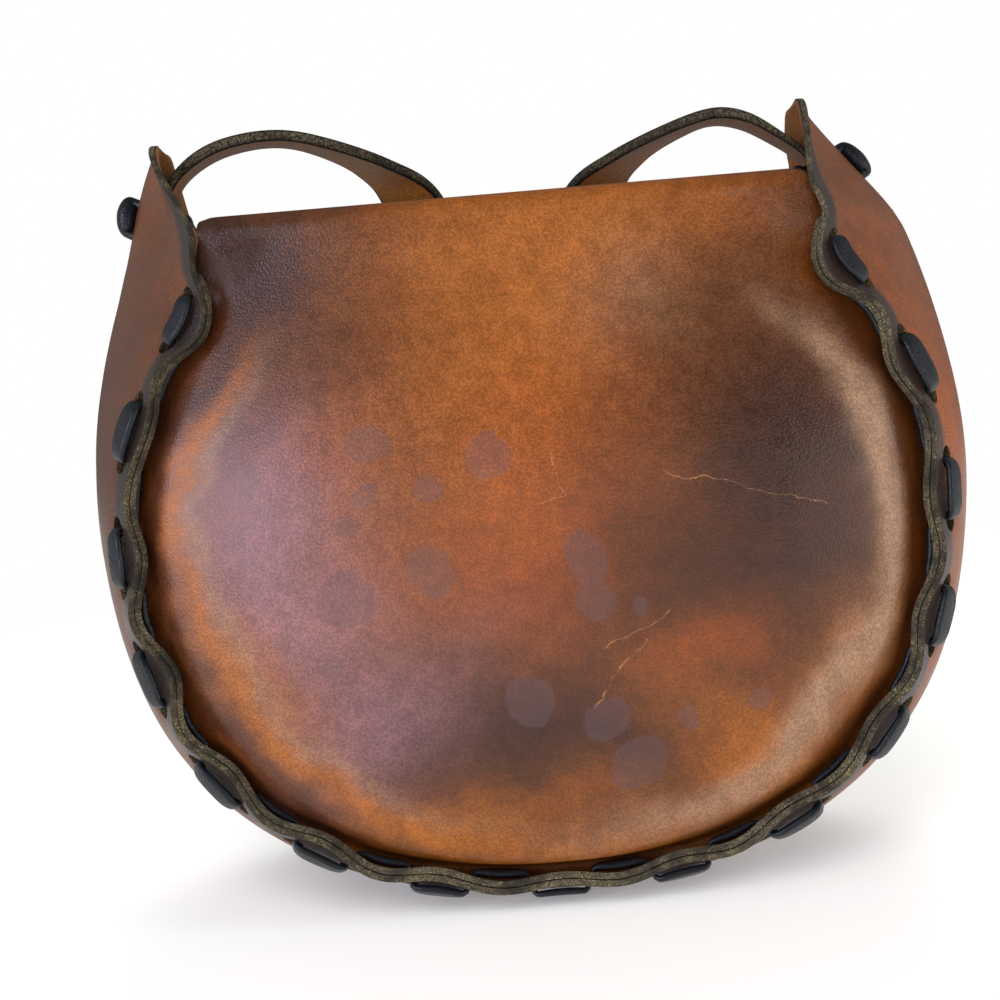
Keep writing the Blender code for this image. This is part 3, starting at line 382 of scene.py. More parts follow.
class Sheet:
    """Collects vertices with a tone of their own and faces, then makes an open mesh of them."""

    def __init__(self):
        self.points, self.insets, self.faces = [], [], []

    def add(self, points, inset):
        """Adds vertices and returns their numbers."""
        points = np.asarray(points, float).reshape(-1, 3)
        first = len(self.points)
        self.points.extend(points)
        self.insets.extend(np.broadcast_to(inset, len(points)))
        return np.arange(first, first + len(points))

    def grid(self, ids, skip=()):
        rows, columns = ids.shape
        for r in range(rows - 1):
            for c in range(columns - 1):
                if (r, c) not in skip:
                    self.faces.append((ids[r, c], ids[r, c + 1], ids[r + 1, c + 1], ids[r + 1, c]))

    def ring(self, outer, inner):
        count = len(outer)
        for k in range(count):
            n = (k + 1) % count
            self.faces.append((outer[k], outer[n], inner[n], inner[k]))

    def holes(self, ids, firsts, stations, centres, insets, surface, sizes, dye_scale=1.0):
        """Opens a rounded hole in each block of the flange's rows. Returns the cells to skip."""
        skip = set()
        last = HOLE_FIRST_ROW + HOLE_CELLS
        for first, centre in zip(firsts, centres):
            end = first + HOLE_CELLS
            loop = [(HOLE_FIRST_ROW, c) for c in range(first, end)]
            loop += [(r, end) for r in range(HOLE_FIRST_ROW, last)]
            loop += [(last, c) for c in range(end, first, -1)]
            loop += [(r, first) for r in range(last, HOLE_FIRST_ROW, -1)]
            ds = np.array([stations[c] - centre for _, c in loop])
            di = np.array([insets[r] - sizes.hole_inset for r, _ in loop])
            turn = np.arctan2(di / HOLE_BLOCK_HALF, ds / HOLE_BLOCK_HALF)
            hs, hi = sizes.hole_half_length * np.cos(turn), sizes.hole_half_width * np.sin(turn)
            outer = np.array([ids[r, c] for r, c in loop])
            for share in (0.4, 0.75, 1.0):
                s, inset = centre + mix(ds, hs, share), sizes.hole_inset + mix(di, hi, share)
                inner = self.add(surface(s, inset), inset * dye_scale)
                self.ring(outer, inner)
                outer = inner
            skip |= {(r, c) for r in range(HOLE_FIRST_ROW, last) for c in range(first, end)}
        return skip

    def thin(self, fine, coarse, times):
        """Joins a row to one that has a vertex for every few of its own."""
        for i in range(len(coarse) - 1):
            run = fine[i * times:(i + 1) * times + 1]
            middle = times // 2
            for k in range(middle):
                self.faces.append((run[k], run[k + 1], coarse[i]))
            self.faces.append((run[middle], run[middle + 1], coarse[i + 1], coarse[i]))
            for k in range(middle + 1, times):
                self.faces.append((run[k], run[k + 1], coarse[i + 1]))

    def object(self, name, outward):
        """The open mesh, facing outward at its first face's nearest match, without loose vertices."""
        points = np.array(self.points)
        mesh = bpy.data.meshes.new(name)
        a, b, c = (points[self.faces[0][k]] for k in range(3))
        if np.dot(np.cross(b - a, c - b), outward) < 0:
            self.faces = [tuple(reversed(f)) for f in self.faces]
        mesh.from_pydata(points.tolist(), [], [tuple(int(i) for i in f) for f in self.faces])
        mesh.attributes.new("inset", "FLOAT", "POINT").data.foreach_set("value", self.insets)
        bm = bmesh.new()
        bm.from_mesh(mesh)
        bmesh.ops.delete(bm, geom=[v for v in bm.verts if not v.link_faces], context="VERTS")
        bm.to_mesh(mesh)
        bm.free()
        obj = bpy.data.objects.new(name, mesh)
        bpy.context.scene.collection.objects.link(obj)
        return obj


def applied(obj):
    """The object with its modifiers turned into plain mesh."""
    graph = bpy.context.evaluated_depsgraph_get()
    mesh = bpy.data.meshes.new_from_object(obj.evaluated_get(graph))
    obj.modifiers.clear()
    obj.data = mesh
    mesh.shade_smooth()
    return obj


def leather_shell(obj, ply, materials, rounding=0.42 * MM, even=True):
    """Gives a sheet its thickness: grain outside, flesh inside, and a rubbed edge between black corners."""
    for material in materials:
        obj.data.materials.append(material)
    solid = obj.modifiers.new("ply", "SOLIDIFY")
    solid.thickness = ply
    solid.offset = 0
    solid.use_even_offset = even
    solid.material_offset = FLESH
    solid.material_offset_rim = EDGE
    bevel = obj.modifiers.new("burnished edge", "BEVEL")
    bevel.width = rounding
    bevel.segments = 2
    bevel.limit_method = "ANGLE"
    bevel.angle_limit = math.radians(55)
    bevel.material = CORNER
    return applied(obj)


# Panels

def groove_rows(rim, s, face):
    """From the foot of the flange round the groove to the valley."""
    z = rim.sizes
    lean = rim.lean(s)
    near_end = smoothstep((np.abs(s) - rim.seam_end) / (2.5 * rim.half_wave) + 1)
    radius = z.groove_radius * mix(1.0, 0.3, near_end)
    turned = mix(-math.pi / 2, 0.0, near_end)
    foot_out = z.flange_height * np.sin(lean) - rim.ply_offset * np.cos(lean)
    foot_towards = -z.flange_height * np.cos(lean) - rim.ply_offset * np.sin(lean)
    centre_out = foot_out - radius * np.cos(lean)
    centre_towards = foot_towards - radius * np.sin(lean)
    rows = []
    for share in np.linspace(0, 1, 9)[1:]:
        angle = mix(lean, turned, share)
        outward = centre_out + radius * np.cos(angle)
        towards = centre_towards + radius * np.sin(angle)
        rows.append(rim.section(s, outward, towards, face))
    return rows


def away_from(outline, x, z):
    """Least distance from each point to the valley's outline, in the XZ plane."""
    best = np.full(x.shape, 1e9)
    line = outline[:, [0, 2]]
    for (ax, az), (bx, bz) in zip(line[:-1], line[1:]):
        dx, dz = bx - ax, bz - az
        t = np.clip(((x - ax) * dx + (z - az) * dz) / (dx * dx + dz * dz), 0, 1)
        best = np.minimum(best, np.hypot(x - ax - dx * t, z - az - dz * t))
    return best


PANEL_ROWS = 50
# Depth and breadth of the soft dents that the moulding left
PANEL_DENT, PANEL_DENT_BREADTH = 0.7 * MM, 55 * MM
GUSSET_DENT, GUSSET_DENT_BREADTH = 0.9 * MM, 45 * MM
# The edge dye reaches less far on the panels than on the gusset
PANEL_DYE_SCALE = 2.2


def panel_rows(rim, s, face, top_x, top_z, blend_height):
    """Rows of the moulded body from the valley to the panel's top row."""
    z = rim.sizes
    groove = groove_rows(rim, s, face)
    valley = groove[-1]
    reach = np.hypot(top_x - valley[:, 0], top_z - valley[:, 2])
    steps = (np.arange(1, PANEL_ROWS + 1) / PANEL_ROWS) ** 1.35
    x = mix(valley[None, :, 0], top_x[None], steps[:, None])
    up = mix(valley[None, :, 2], top_z[None], steps[:, None])
    away = away_from(valley, x, up)
    across = x / z.rim_half_width
    rise = (up - z.rim_widest) / z.rim_widest
    dome = z.edge_half_depth + z.dome_proud + z.dome_crown * np.maximum(0, 1 - across ** 2 - rise ** 2)
    target = mix(dome, z.fold_half_depth, smoothstep((up - blend_height) / z.fold_blend))
    beside = smoothstep(np.abs(s) / rim.seam_end / 0.5)
    fillet = np.minimum(mix(z.dome_foot, z.dome_fillet, beside), reach)[None]
    flank = np.minimum(z.dome_flank, reach)[None]
    slow = mix(0.2, 0.42, beside)[None]
    lift = (1 - slow) * smoothstep(away / fillet) + slow * smoothstep(away / flank)
    depth = mix(np.abs(valley[None, :, 1]), target, lift)
    points = np.stack([x, face * depth, up], -1)
    depth = depth + PANEL_DENT * lift * wander(points, PANEL_DENT_BREADTH, 3.1 * face)
    points[..., 1] = face * depth
    return groove + list(points)


def top_columns(rim, s, half_width):
    share = s / rim.seam_end
    return half_width * np.sign(share) * (0.4 * np.abs(share) + 0.6 * share ** 2)


def flap_profile(z):
    """Mid line of the flap over the top and down the front, as (y, z, half width) rows."""
    front = z.edge_half_depth + z.dome_proud + z.dome_crown + z.ply + FLAT_GAP
    bend_y, bend_top = front - z.flap_radius, z.fold_height - z.flap_slope
    back_y = -z.fold_half_depth + z.fold_radius
    rows = []
    for turn in np.linspace(0, math.pi / 2, 9)[1:]:
        y = -z.fold_half_depth + z.fold_radius * (1 - math.cos(turn))
        rows.append((y, z.fold_height - z.fold_radius * (1 - math.sin(turn))))
    for share in np.linspace(0, 1, 28)[1:-1]:
        rows.append((mix(back_y, bend_y, share), mix(z.fold_height, bend_top, share)))
    for turn in np.linspace(0, math.pi / 2, 12):
        up = bend_top - z.flap_radius * (1 - math.cos(turn))
        rows.append((bend_y + z.flap_radius * math.sin(turn), up))
    drop_top = bend_top - z.flap_radius
    fall = drop_top - z.flap_bottom
    for share in np.sin(np.linspace(0, math.pi / 2, 50))[1:]:
        rows.append((front, drop_top - fall * share))
    out = []
    for y, up in rows:
        fallen = max(0.0, (drop_top - up) / fall)
        width = mix(0.35, 1, (1 - min(1.0, fallen) ** 2.6) ** (1 / 2.6))
        eased = mix(z.fold_half_width, z.flap_half_width, float(smoothstep((y + z.fold_half_depth) / 0.01)))
        out.append((y, up, eased * width))
    return out


def moulded_panel(z, rim, face, x, top, blend_height):
    """Flange with its lace holes, groove and dome. Returns the sheet and the numbers of its top row."""
    s, firsts = seam_stations(rim)

    def surface(s_at, inset):
        return rim.flange(s_at, cut_round(rim, s_at, inset), -rim.ply_offset, face)

    sheet = Sheet()
    ids = [sheet.add(surface(s, inset), inset * PANEL_DYE_SCALE) for inset in FLANGE_INSETS]
    ids += [sheet.add(row, UNDYED) for row in panel_rows(rim, s, face, x, top, blend_height)]
    ids = np.array(ids)
    skip = sheet.holes(ids, firsts, s, rim.holes(), FLANGE_INSETS, surface, z, PANEL_DYE_SCALE)
    sheet.grid(ids, skip)
    return sheet, ids[-1]


# The flap has one column for this many of the panel's
FLAP_THINNING = 3


def make_hide(z, rim, materials):
    """Back panel and flap: one hide, laced round the back and folded over the top."""
    s, _ = seam_stations(rim)
    bend_start = z.fold_height - z.fold_radius
    x = top_columns(rim, s, z.fold_half_width)
    sheet, above = moulded_panel(z, rim, -1, x, np.full_like(x, bend_start), bend_start - z.fold_blend)
    shares = x[::FLAP_THINNING] / z.fold_half_width
    for i, (y, up, half) in enumerate(flap_profile(z)):
        row = sheet.add(np.stack([shares * half, np.full_like(shares, y), np.full_like(shares, up)], -1),
                        UNDYED)
        if i == 0:
            sheet.thin(above, row, FLAP_THINNING)
        else:
            sheet.grid(np.array([above, row]))
        above = row
    hide = sheet.object("hide", hide_outward(rim, s[0]))
    return leather_shell(hide, z.ply, materials)


def hide_outward(rim, s):
    """Direction that a panel's flange shows its grain to at its first station: into the groove."""
    nx, nz = rim.normal(np.array([s]))
    lean = float(rim.lean(np.array([s]))[0])
    return np.array([-nx[0] * math.cos(lean), math.sin(lean), -nz[0] * math.cos(lean)])


def make_front_panel(z, rim, materials):
    """The far side's panel, open at the top between the necks."""
    s, _ = seam_stations(rim)
    x = top_columns(rim, s, z.front_half_width)
    top = z.front_top + z.front_dip * np.abs(x / z.front_half_width) ** 3
    sheet, _ = moulded_panel(z, rim, 1, x, top, z.front_top - z.fold_blend)
    outward = hide_outward(rim, s[0])
    outward[1] *= -1
    panel = sheet.object("front_skin", outward)
    return leather_shell(panel, z.ply, materials)


# Wear of the strap's pull: it starts at this half width and is full that much further out
PULL_START, PULL_RUN = 0.07, 0.045


def pulled_left(obj, z):
    """Moves the tabs and what is tied to them a little to the left, as the strap has pulled them."""
    for vertex in obj.data.vertices:
        risen = min(1.0, max(0.0, (vertex.co.z - z.neck_height) / (z.tab_height - z.neck_height)))
        beside = min(1.0, max(0.0, (abs(vertex.co.x) - PULL_START) / PULL_RUN))
        share = risen * risen * (3 - 2 * risen) * beside * beside * (3 - 2 * beside)
        vertex.co.z -= z.tab_tilt * share * vertex.co.x / z.tab_half_width
        vertex.co.x -= z.tab_shift * share


# Depth over which the opened tabs start to bend
OPENING_RUN = 0.03


def tabs_opened(obj, z):
    """Bends the flap side of both tabs outward, behind their other edges as seen from the back."""
    co = np.array([vertex.co for vertex in obj.data.vertices])
    risen = smoothstep((co[:, 2] - z.neck_height) / (z.tie_height - z.neck_height))
    behind = np.maximum(co[:, 1], 0)
    co[:, 0] += np.sign(co[:, 0]) * z.tab_opening * behind * smoothstep(behind / OPENING_RUN) * risen
    obj.data.vertices.foreach_set("co", co.ravel())


# What wear did to the top fold: its ends spread, it was drawn up, more on the left, and its ends sank
FOLD_SPREAD_LEFT, FOLD_SPREAD_RIGHT = 4 * MM, 2 * MM
FOLD_DRAWN_UP, FOLD_LEFT_SLOPE = 3.5 * MM, 0.008
FOLD_END_RUN, FOLD_END_SINK = 6 * MM, 1.0 * MM
# Heights above the seam's top between which that sets in
FOLD_WEAR_START, FOLD_WEAR_RUN = 1 * MM, 8 * MM
# It is drawn up only on the back's side of this depth, and in full this far beyond it
FOLD_DRAWN_DEPTH, FOLD_DRAWN_RUN = 0.03, 0.06


def fold_settled(obj, z):
    """Spreads the top fold, draws it up and rounds both ends down, as wear has."""
    co = np.array([vertex.co for vertex in obj.data.vertices])
    share = smoothstep((co[:, 2] - z.seam_top - FOLD_WEAR_START) / FOLD_WEAR_RUN)
    out = smoothstep((np.abs(co[:, 0]) - z.fold_half_width + FOLD_END_RUN) / FOLD_END_RUN)
    spread = np.where(co[:, 0] < 0, -FOLD_SPREAD_LEFT, FOLD_SPREAD_RIGHT)
    co[:, 0] += spread * share * np.abs(co[:, 0]) / z.fold_half_width
    at_back = smoothstep((FOLD_DRAWN_DEPTH - co[:, 1]) / FOLD_DRAWN_RUN)
    co[:, 2] += (FOLD_DRAWN_UP - FOLD_LEFT_SLOPE * co[:, 0]) * share * at_back
    co[:, 2] -= FOLD_END_SINK * share * out ** 2
    obj.data.vertices.foreach_set("co", co.ravel())


# Gusset

BELLY_ROWS = 16
# Columns of each tab, and how near they come to its tip, as a share of a quarter turn
TAB_COLUMNS, TAB_REACH = 15, 0.87
# The tab's rows level out beyond this share of its height, over this much more
TAB_LEVEL_START, TAB_LEVEL_RUN = 0.7, 0.25


def make_gusset(z, rim, materials):
    """One strip that bellies out between the panels and ends in two rounded tabs."""
    seam, firsts = seam_stations(rim)
    beyond = mix(rim.seam_end, rim.tip, np.sin(np.linspace(0, TAB_REACH, TAB_COLUMNS)[1:] * math.pi / 2))
    s = np.concatenate([-beyond[::-1], seam, beyond])
    firsts = [f + len(beyond) for f in firsts]
    sheet = Sheet()
    halves = []
    for face in (-1, 1):
        rows = [(rim.flange(s, inset, rim.ply_offset, face), inset) for inset in FLANGE_INSETS]
        foot = rows[-1][0]
        bx, bz = rim.belly(s)
        nx, nz = rim.normal(s)
        swell = np.tan(rim.lean(s)) * np.abs(foot[:, 1]) * rim.swing_share
        for v in np.linspace(0, 1, BELLY_ROWS + 1)[1:]:
            rise, swing = v * v * (3 - 2 * v), v * (1 - v) ** 2
            x = foot[:, 0] + (bx - foot[:, 0]) * rise + nx * swell * swing
            up = foot[:, 2] + (bz - foot[:, 2]) * rise + nz * swell * swing
            points = np.stack([x, foot[:, 1] * (1 - v), up], -1)
            depth = GUSSET_DENT * math.sin(math.pi * v / 2)
            dent = depth * wander(points, GUSSET_DENT_BREADTH, 7.7) * (1 - rim.beyond(s))
            points[:, 0] += nx * dent
            points[:, 2] += nz * dent
            points[:, 2] = soft_floor(points[:, 2], z.ply / 2, 1.0 * MM)
            rows.append((points, 12 * MM + v * np.abs(foot[:, 1])))
        halves.append(rows)
    level = smoothstep((rim.beyond(s) - TAB_LEVEL_START) / TAB_LEVEL_RUN)
    for points, _ in halves[0] + halves[1]:
        points[:, 2] = mix(points[:, 2], rim.edge(s)[1], level)
    back, front = halves
    middle = sheet.add(back[-1][0], back[-1][1])
    for face, rows in ((-1, back), (1, front)):
        ids = [sheet.add(points, inset) for points, inset in rows[:-1]]
        ids = np.array(ids + [middle])

        def surface(s_at, inset, face=face):
            return rim.flange(s_at, inset, rim.ply_offset, face)

        skip = sheet.holes(ids, firsts, s, rim.holes(), FLANGE_INSETS, surface, z)
        sheet.grid(ids, skip)
    return finish_gusset(sheet, z, materials)


def finish_gusset(sheet, z, materials):
    """Both halves share the middle row, so their faces are turned the same way before the ply."""
    obj = sheet.object("gusset_skin", np.array([0, 0, -1.0]))
    bm = bmesh.new()
    bm.from_mesh(obj.data)
    bmesh.ops.recalc_face_normals(bm, faces=bm.faces)
    lowest = min(bm.faces, key=lambda f: f.calc_center_median().z + abs(f.calc_center_median().y) * 0.1)
    if lowest.normal.z > 0:
        bmesh.ops.reverse_faces(bm, faces=bm.faces)
    bm.to_mesh(obj.data)
    bm.free()
    return leather_shell(obj, z.ply, materials, even=False)


# Thongs and strap, swept by one Geometry Nodes tree

def add_node(tree, kind, inputs=None, **settings):
    """Adds a node with its settings. Its inputs take plain values or links, by socket name or number."""
    node = tree.nodes.new(kind)
    for key, value in settings.items():
        setattr(node, key, value)
    for key, value in (inputs or {}).items():
        if isinstance(value, bpy.types.NodeSocket):
            tree.links.new(value, node.inputs[key])
        else:
            node.inputs[key].default_value = value
    return node


def sweep_tree():
    """Sweeps a flat profile along a path whose points carry their half width and the way the width points."""
    tree = bpy.data.node_groups.new("thong_sweep", "GeometryNodeTree")
    face = tree.interface
    face.new_socket("Path", in_out="INPUT", socket_type="NodeSocketGeometry")
    for name, default in (("Thickness share", 0.35), ("Corner share", 0.1)):
        socket = face.new_socket(name, in_out="INPUT", socket_type="NodeSocketFloat")
        socket.default_value = default
    face.new_socket("Corner steps", in_out="INPUT", socket_type="NodeSocketInt").default_value = 4
    face.new_socket("Leather", in_out="INPUT", socket_type="NodeSocketMaterial")
    face.new_socket("Mesh", in_out="OUTPUT", socket_type="NodeSocketGeometry")
    given = add_node(tree, "NodeGroupInput")
    curve = add_node(tree, "GeometryNodeMeshToCurve", {"Mesh": given.outputs["Path"]})
    way = add_node(tree, "GeometryNodeInputNamedAttribute", {"Name": "width_way"}, data_type="FLOAT_VECTOR")
    half = add_node(tree, "GeometryNodeInputNamedAttribute", {"Name": "half_width"}, data_type="FLOAT")
    turned = add_node(tree, "GeometryNodeSetCurveNormal",
                      {"Curve": curve.outputs[0], "Normal": way.outputs[0]}, mode="FREE")
    spot = add_node(tree, "GeometryNodeInputPosition")
    thick = add_node(tree, "ShaderNodeMath", {0: given.outputs["Thickness share"], 1: 2.0},
                     operation="MULTIPLY")
    profile = add_node(tree, "GeometryNodeCurvePrimitiveQuadrilateral",
                       {"Width": 2.0, "Height": thick.outputs[0]})
    rounded = add_node(tree, "GeometryNodeFilletCurve",
                       {"Curve": profile.outputs[0], "Radius": given.outputs["Corner share"],
                        "Count": given.outputs["Corner steps"]}, mode="POLY")
    marked = add_node(tree, "GeometryNodeStoreNamedAttribute",
                      {"Geometry": rounded.outputs[0], "Value": spot.outputs[0], "Name": "profile_place"},
                      data_type="FLOAT_VECTOR", domain="POINT")
    dense = add_node(tree, "GeometryNodeCurveToMesh",
                     {"Curve": turned.outputs[0], "Profile Curve": marked.outputs[0],
                      "Scale": half.outputs[0],
                      "Fill Caps": True})
    smooth = add_node(tree, "GeometryNodeSetShadeSmooth", {"Geometry": dense.outputs[0]})
    real = add_node(tree, "GeometryNodeRealizeInstances", {"Geometry": smooth.outputs[0]})
    painted = add_node(tree, "GeometryNodeSetMaterial",
                       {"Geometry": real.outputs[0], "Material": given.outputs["Leather"]})
    out = add_node(tree, "NodeGroupOutput")
    tree.links.new(painted.outputs[0], out.inputs["Mesh"])
    return tree


def sweep(name, places, ways, half_widths, thickness_share, corner_share, corner_steps, material):
    """A swept thong or strap as a plain mesh object."""
    mesh = bpy.data.meshes.new(name + "_path")
    count = len(places)
    mesh.from_pydata(places.tolist(), [(i, i + 1) for i in range(count - 1)], [])
    mesh.attributes.new("width_way", "FLOAT_VECTOR", "POINT").data.foreach_set("vector", unit(ways).ravel())
    mesh.attributes.new("half_width", "FLOAT", "POINT").data.foreach_set("value", half_widths)
    obj = bpy.data.objects.new(name, mesh)
    bpy.context.scene.collection.objects.link(obj)
    tree = bpy.data.node_groups.get("thong_sweep") or sweep_tree()
    modifier = obj.modifiers.new("sweep", "NODES")
    modifier.node_group = tree
    given = {"Thickness share": thickness_share, "Corner share": corner_share, "Corner steps": corner_steps,
             "Leather": material}
    for item in tree.interface.items_tree:
        if item.in_out == "INPUT" and item.name in given:
            modifier[item.identifier] = given[item.name]
    applied(obj)
    bm = bmesh.new()
    bm.from_mesh(obj.data)
    bmesh.ops.remove_doubles(bm, verts=bm.verts, dist=0.01 * MM)
    bmesh.ops.recalc_face_normals(bm, faces=bm.faces)
    bm.to_mesh(obj.data)
    bm.free()
    return obj


# Points of each stitch, the thong's clearance from the ply, and how far it bulges outside and inside
LACE_STEPS = 18
LACE_CLEARANCE, LACE_BULGE_OUTSIDE, LACE_BULGE_INSIDE = 0.35 * MM, 0.9 * MM, 0.3 * MM


def lace_path(z, rim, face):
    """Places, width directions and half widths of a running stitch through every hole."""
    reach = rim.ply_offset + z.ply / 2 + LACE_CLEARANCE + z.lace_thickness / 2
    first = rim.holes()[0]
    s, offset, swell = [], [], []
    for i in range(2 * z.stitches - 1):
        outside = 1 if i % 2 == 0 else -1
        bulge = LACE_BULGE_OUTSIDE if outside > 0 else LACE_BULGE_INSIDE
        for k in range(LACE_STEPS):
            u = 2 * k / LACE_STEPS - 1
            s.append(first + rim.half_wave * (i + k / LACE_STEPS))
            offset.append(outside * (reach + bulge * (1 - u * u)) * (1 - abs(u) ** 7) ** 0.55)
            swell.append(mix(0.45, 1.0, (1 - u ** 4) ** 0.8))
    s, offset, swell = np.array(s), np.array(offset), np.array(swell)
    low = smoothstep(np.abs(s) / rim.seam_end / 0.35)
    offset = np.where(offset > reach, mix(reach, offset, low), offset)
    half = z.lace_width / 2 * swell * (1 + 0.07 * np.sin(s * 90 + face))
    inner = rim.flange(s, z.hole_inset - half, offset, face)
    outer = rim.flange(s, z.hole_inset + half, offset, face)
    return (inner + outer) / 2, outer - inner, half


def make_lace(name, z, rim, face, material):
    places, ways, half = lace_path(z, rim, face)
    share = z.lace_thickness / z.lace_width
    return sweep(name, places, ways, half, share, share * 0.96, 4, material)


def tab_slope(z, rim):
    """Mid point of the right tab at the tie, the direction up it and its normal to the inside."""
    heights = np.array([z.tie_height - z.tie_half_span, z.tie_height, z.tie_height + z.tie_half_span])
    line = rim.belly_line
    x = np.interp(heights, line[:, 1], line[:, 0])
    up = unit(np.array([x[2] - x[0], 0, heights[2] - heights[0]]))
    return np.array([x[1], 0, z.tie_height]), up, np.array([-up[2], 0, up[0]])


def strap_route(z, rim, peak):
    """Mid line and width directions of the right half of the strap, from its end to the loop's bottom."""
    tie, up, inward = tab_slope(z, rim)
    seat = tie + inward * (z.ply / 2 + z.strap_standoff + z.strap_thickness / 2)
    depth, width, tilted = np.array([0.27, 1.0, 0.14]), np.array([1.0, 0, 0]), np.array([0.12, 1.0, 0.18])
    points = [(seat - up * z.strap_tail + inward * 1.2 * MM, depth), (seat, depth)]
    flap_front = z.edge_half_depth + z.dome_proud + z.dome_crown + z.ply + FLAT_GAP
    over = z.ply / 2 + FLAT_GAP + z.strap_thickness / 2
    hang_y = flap_front + over
    bend_top = z.fold_height - z.flap_slope
    drop_top = bend_top - z.flap_radius
    arch = ((0.965, 0.00, 0.50, 0.00), (0.900, 0.01, 0.72, 0.00), (0.800, 0.03, 0.91, 0.02),
            (0.680, 0.10, 1.00, 0.06), (0.560, 0.20, 0.95, 0.14), (0.410, 0.42, 0.80, 0.35),
            (0.310, 0.66, 0.57, 0.62))
    for x, y, height, turn in arch:
        place = np.array([seat[0] * x, hang_y * y, mix(bend_top + over, peak, height)])
        points.append((place, mix(tilted, width, turn)))
    reach = (z.flap_radius + 2 * over) * math.sqrt(0.5)
    points.append((np.array([z.strap_gap * 1.1, flap_front - z.flap_radius + reach, drop_top + reach]),
                   mix(depth, width, 0.93)))
    points.append((np.array([z.strap_gap * 1.02, hang_y + 0.4 * MM, drop_top]), width))
    strand = ((0.62, 1.00, 0.20, 0.00), (0.42, 1.00, 0.55, 0.18), (0.27, 1.00, 0.95, 0.52),
              (0.17, 0.96, 1.05, 0.84), (0.10, 0.86, 1.05, 0.95), (0.050, 0.68, 1.05, 0.98),
              (0.014, 0.38, 1.05, 1.00), (0.0, 0.00, 1.05, 1.00))
    for height, x, forward, turn in strand:
        place = np.array([z.strap_gap * x, hang_y + forward * z.strap_width / 2,
                          mix(z.strap_loop, drop_top, height)])
        points.append((place, mix(width, -depth, turn)))
    return np.array([p for p, _ in points]), np.array([w for _, w in points])


def smooth_through(values, steps):
    """Catmull-Rom samples through rows of values."""
    padded = np.vstack([2 * values[0] - values[1], values, 2 * values[-1] - values[-2]])
    u = np.linspace(0, 1, steps, endpoint=False)[:, None]
    out = []
    for i in range(len(values) - 1):
        p0, p1, p2, p3 = padded[i:i + 4]
        out.append(0.5 * (2 * p1 + (p2 - p0) * u + (2 * p0 - 5 * p1 + 4 * p2 - p3) * u ** 2
                          + (3 * p1 - p0 - 3 * p2 + p3) * u ** 3))
    return np.vstack(out + [values[-1:]])


def make_strap(z, rim, material):
    """The shoulder strap from tab to tab, in one flat band with rounded edges."""
    mirror = np.array([-1, 1, 1.0])
    left, left_ways = strap_route(z, rim, z.strap_peak_left)
    right, right_ways = strap_route(z, rim, z.strap_peak_right)
    places = np.vstack([left * mirror, right[::-1][1:]])
    ways = np.vstack([left_ways * mirror, right_ways[::-1][1:]])
    places, ways = smooth_through(places, 9), smooth_through(ways, 9)
    run = np.concatenate([[0], np.cumsum(np.linalg.norm(np.diff(places, axis=0), axis=1))])
    even = np.arange(0, run[-1], 2.2 * MM)
    even = np.append(even, run[-1])
    places = np.stack([np.interp(even, run, places[:, k]) for k in range(3)], -1)
    ways = unit(np.stack([np.interp(even, run, ways[:, k]) for k in range(3)], -1))
    along = unit(np.gradient(places, axis=0))
    ways = unit(ways - along * np.sum(ways * along, axis=1, keepdims=True))
    half = z.strap_width / 2 * (1 + 0.008 * np.sin(even * 70) + 0.006 * np.sin(even * 173))
    from_end = np.minimum(even, even[-1] - even)
    half = half * mix(0.6, 1.0, smoothstep((from_end - z.strap_tail) / (1.8 * z.strap_width)))
    share = z.strap_thickness / z.strap_width
    return sweep("strap_band", places, ways, half, share, share * 0.8, 4, material)


def make_tie(name, side, z, rim, material):
    """The thong from its knot inside the strap, out round the tab's outside and back in."""
    tie, up, inward = tab_slope(z, rim)
    inner = z.ply / 2 + z.strap_standoff + z.strap_thickness
    outer = z.ply / 2 + z.tie_radius + FLAT_GAP
    high, low = tie + up * z.tie_half_span, tie - up * z.tie_half_span
    path = ((high + inward * (inner + 4.6 * MM), 1.1), (high + inward * (inner + 3.2 * MM), 1.95),
            (high + inward * (inner + 1.0 * MM), 1.5), (high + inward * inner, 1.0),
            (high + inward * z.ply, 1.0), (high - inward * outer * 0.8, 1.0),
            (high - inward * (outer + 0.5 * MM) - up * 1.2 * MM, 1.5),
            (tie - inward * (outer + 1.0 * MM), 1.8),
            (low - inward * (outer + 0.5 * MM) + up * 1.2 * MM, 1.5), (low - inward * outer * 0.8, 1.0),
            (low + inward * z.ply, 1.0), (low + inward * inner, 1.0),
            (low + inward * (inner + 5.5 * MM), 0.85))
    places = smooth_through(np.array([p for p, _ in path]), 6)
    half = smooth_through(np.array([[r] for _, r in path]), 6)[:, 0] * z.tie_radius
    places[:, 0] *= side
    ways = np.tile(np.array([0, 1.0, 0]), (len(places), 1))
    return sweep(name, places, ways, half, 0.9, 0.86, 5, material)


# Leathers

def shader_tree(name):
    """A new material, its tree, its shader and the place on the bag that its textures follow."""
    material = bpy.data.materials.new(name)
    material.use_nodes = True
    tree = material.node_tree
    coords = add_node(tree, "ShaderNodeTexCoord").outputs["Object"]
    return material, tree, tree.nodes["Principled BSDF"], coords


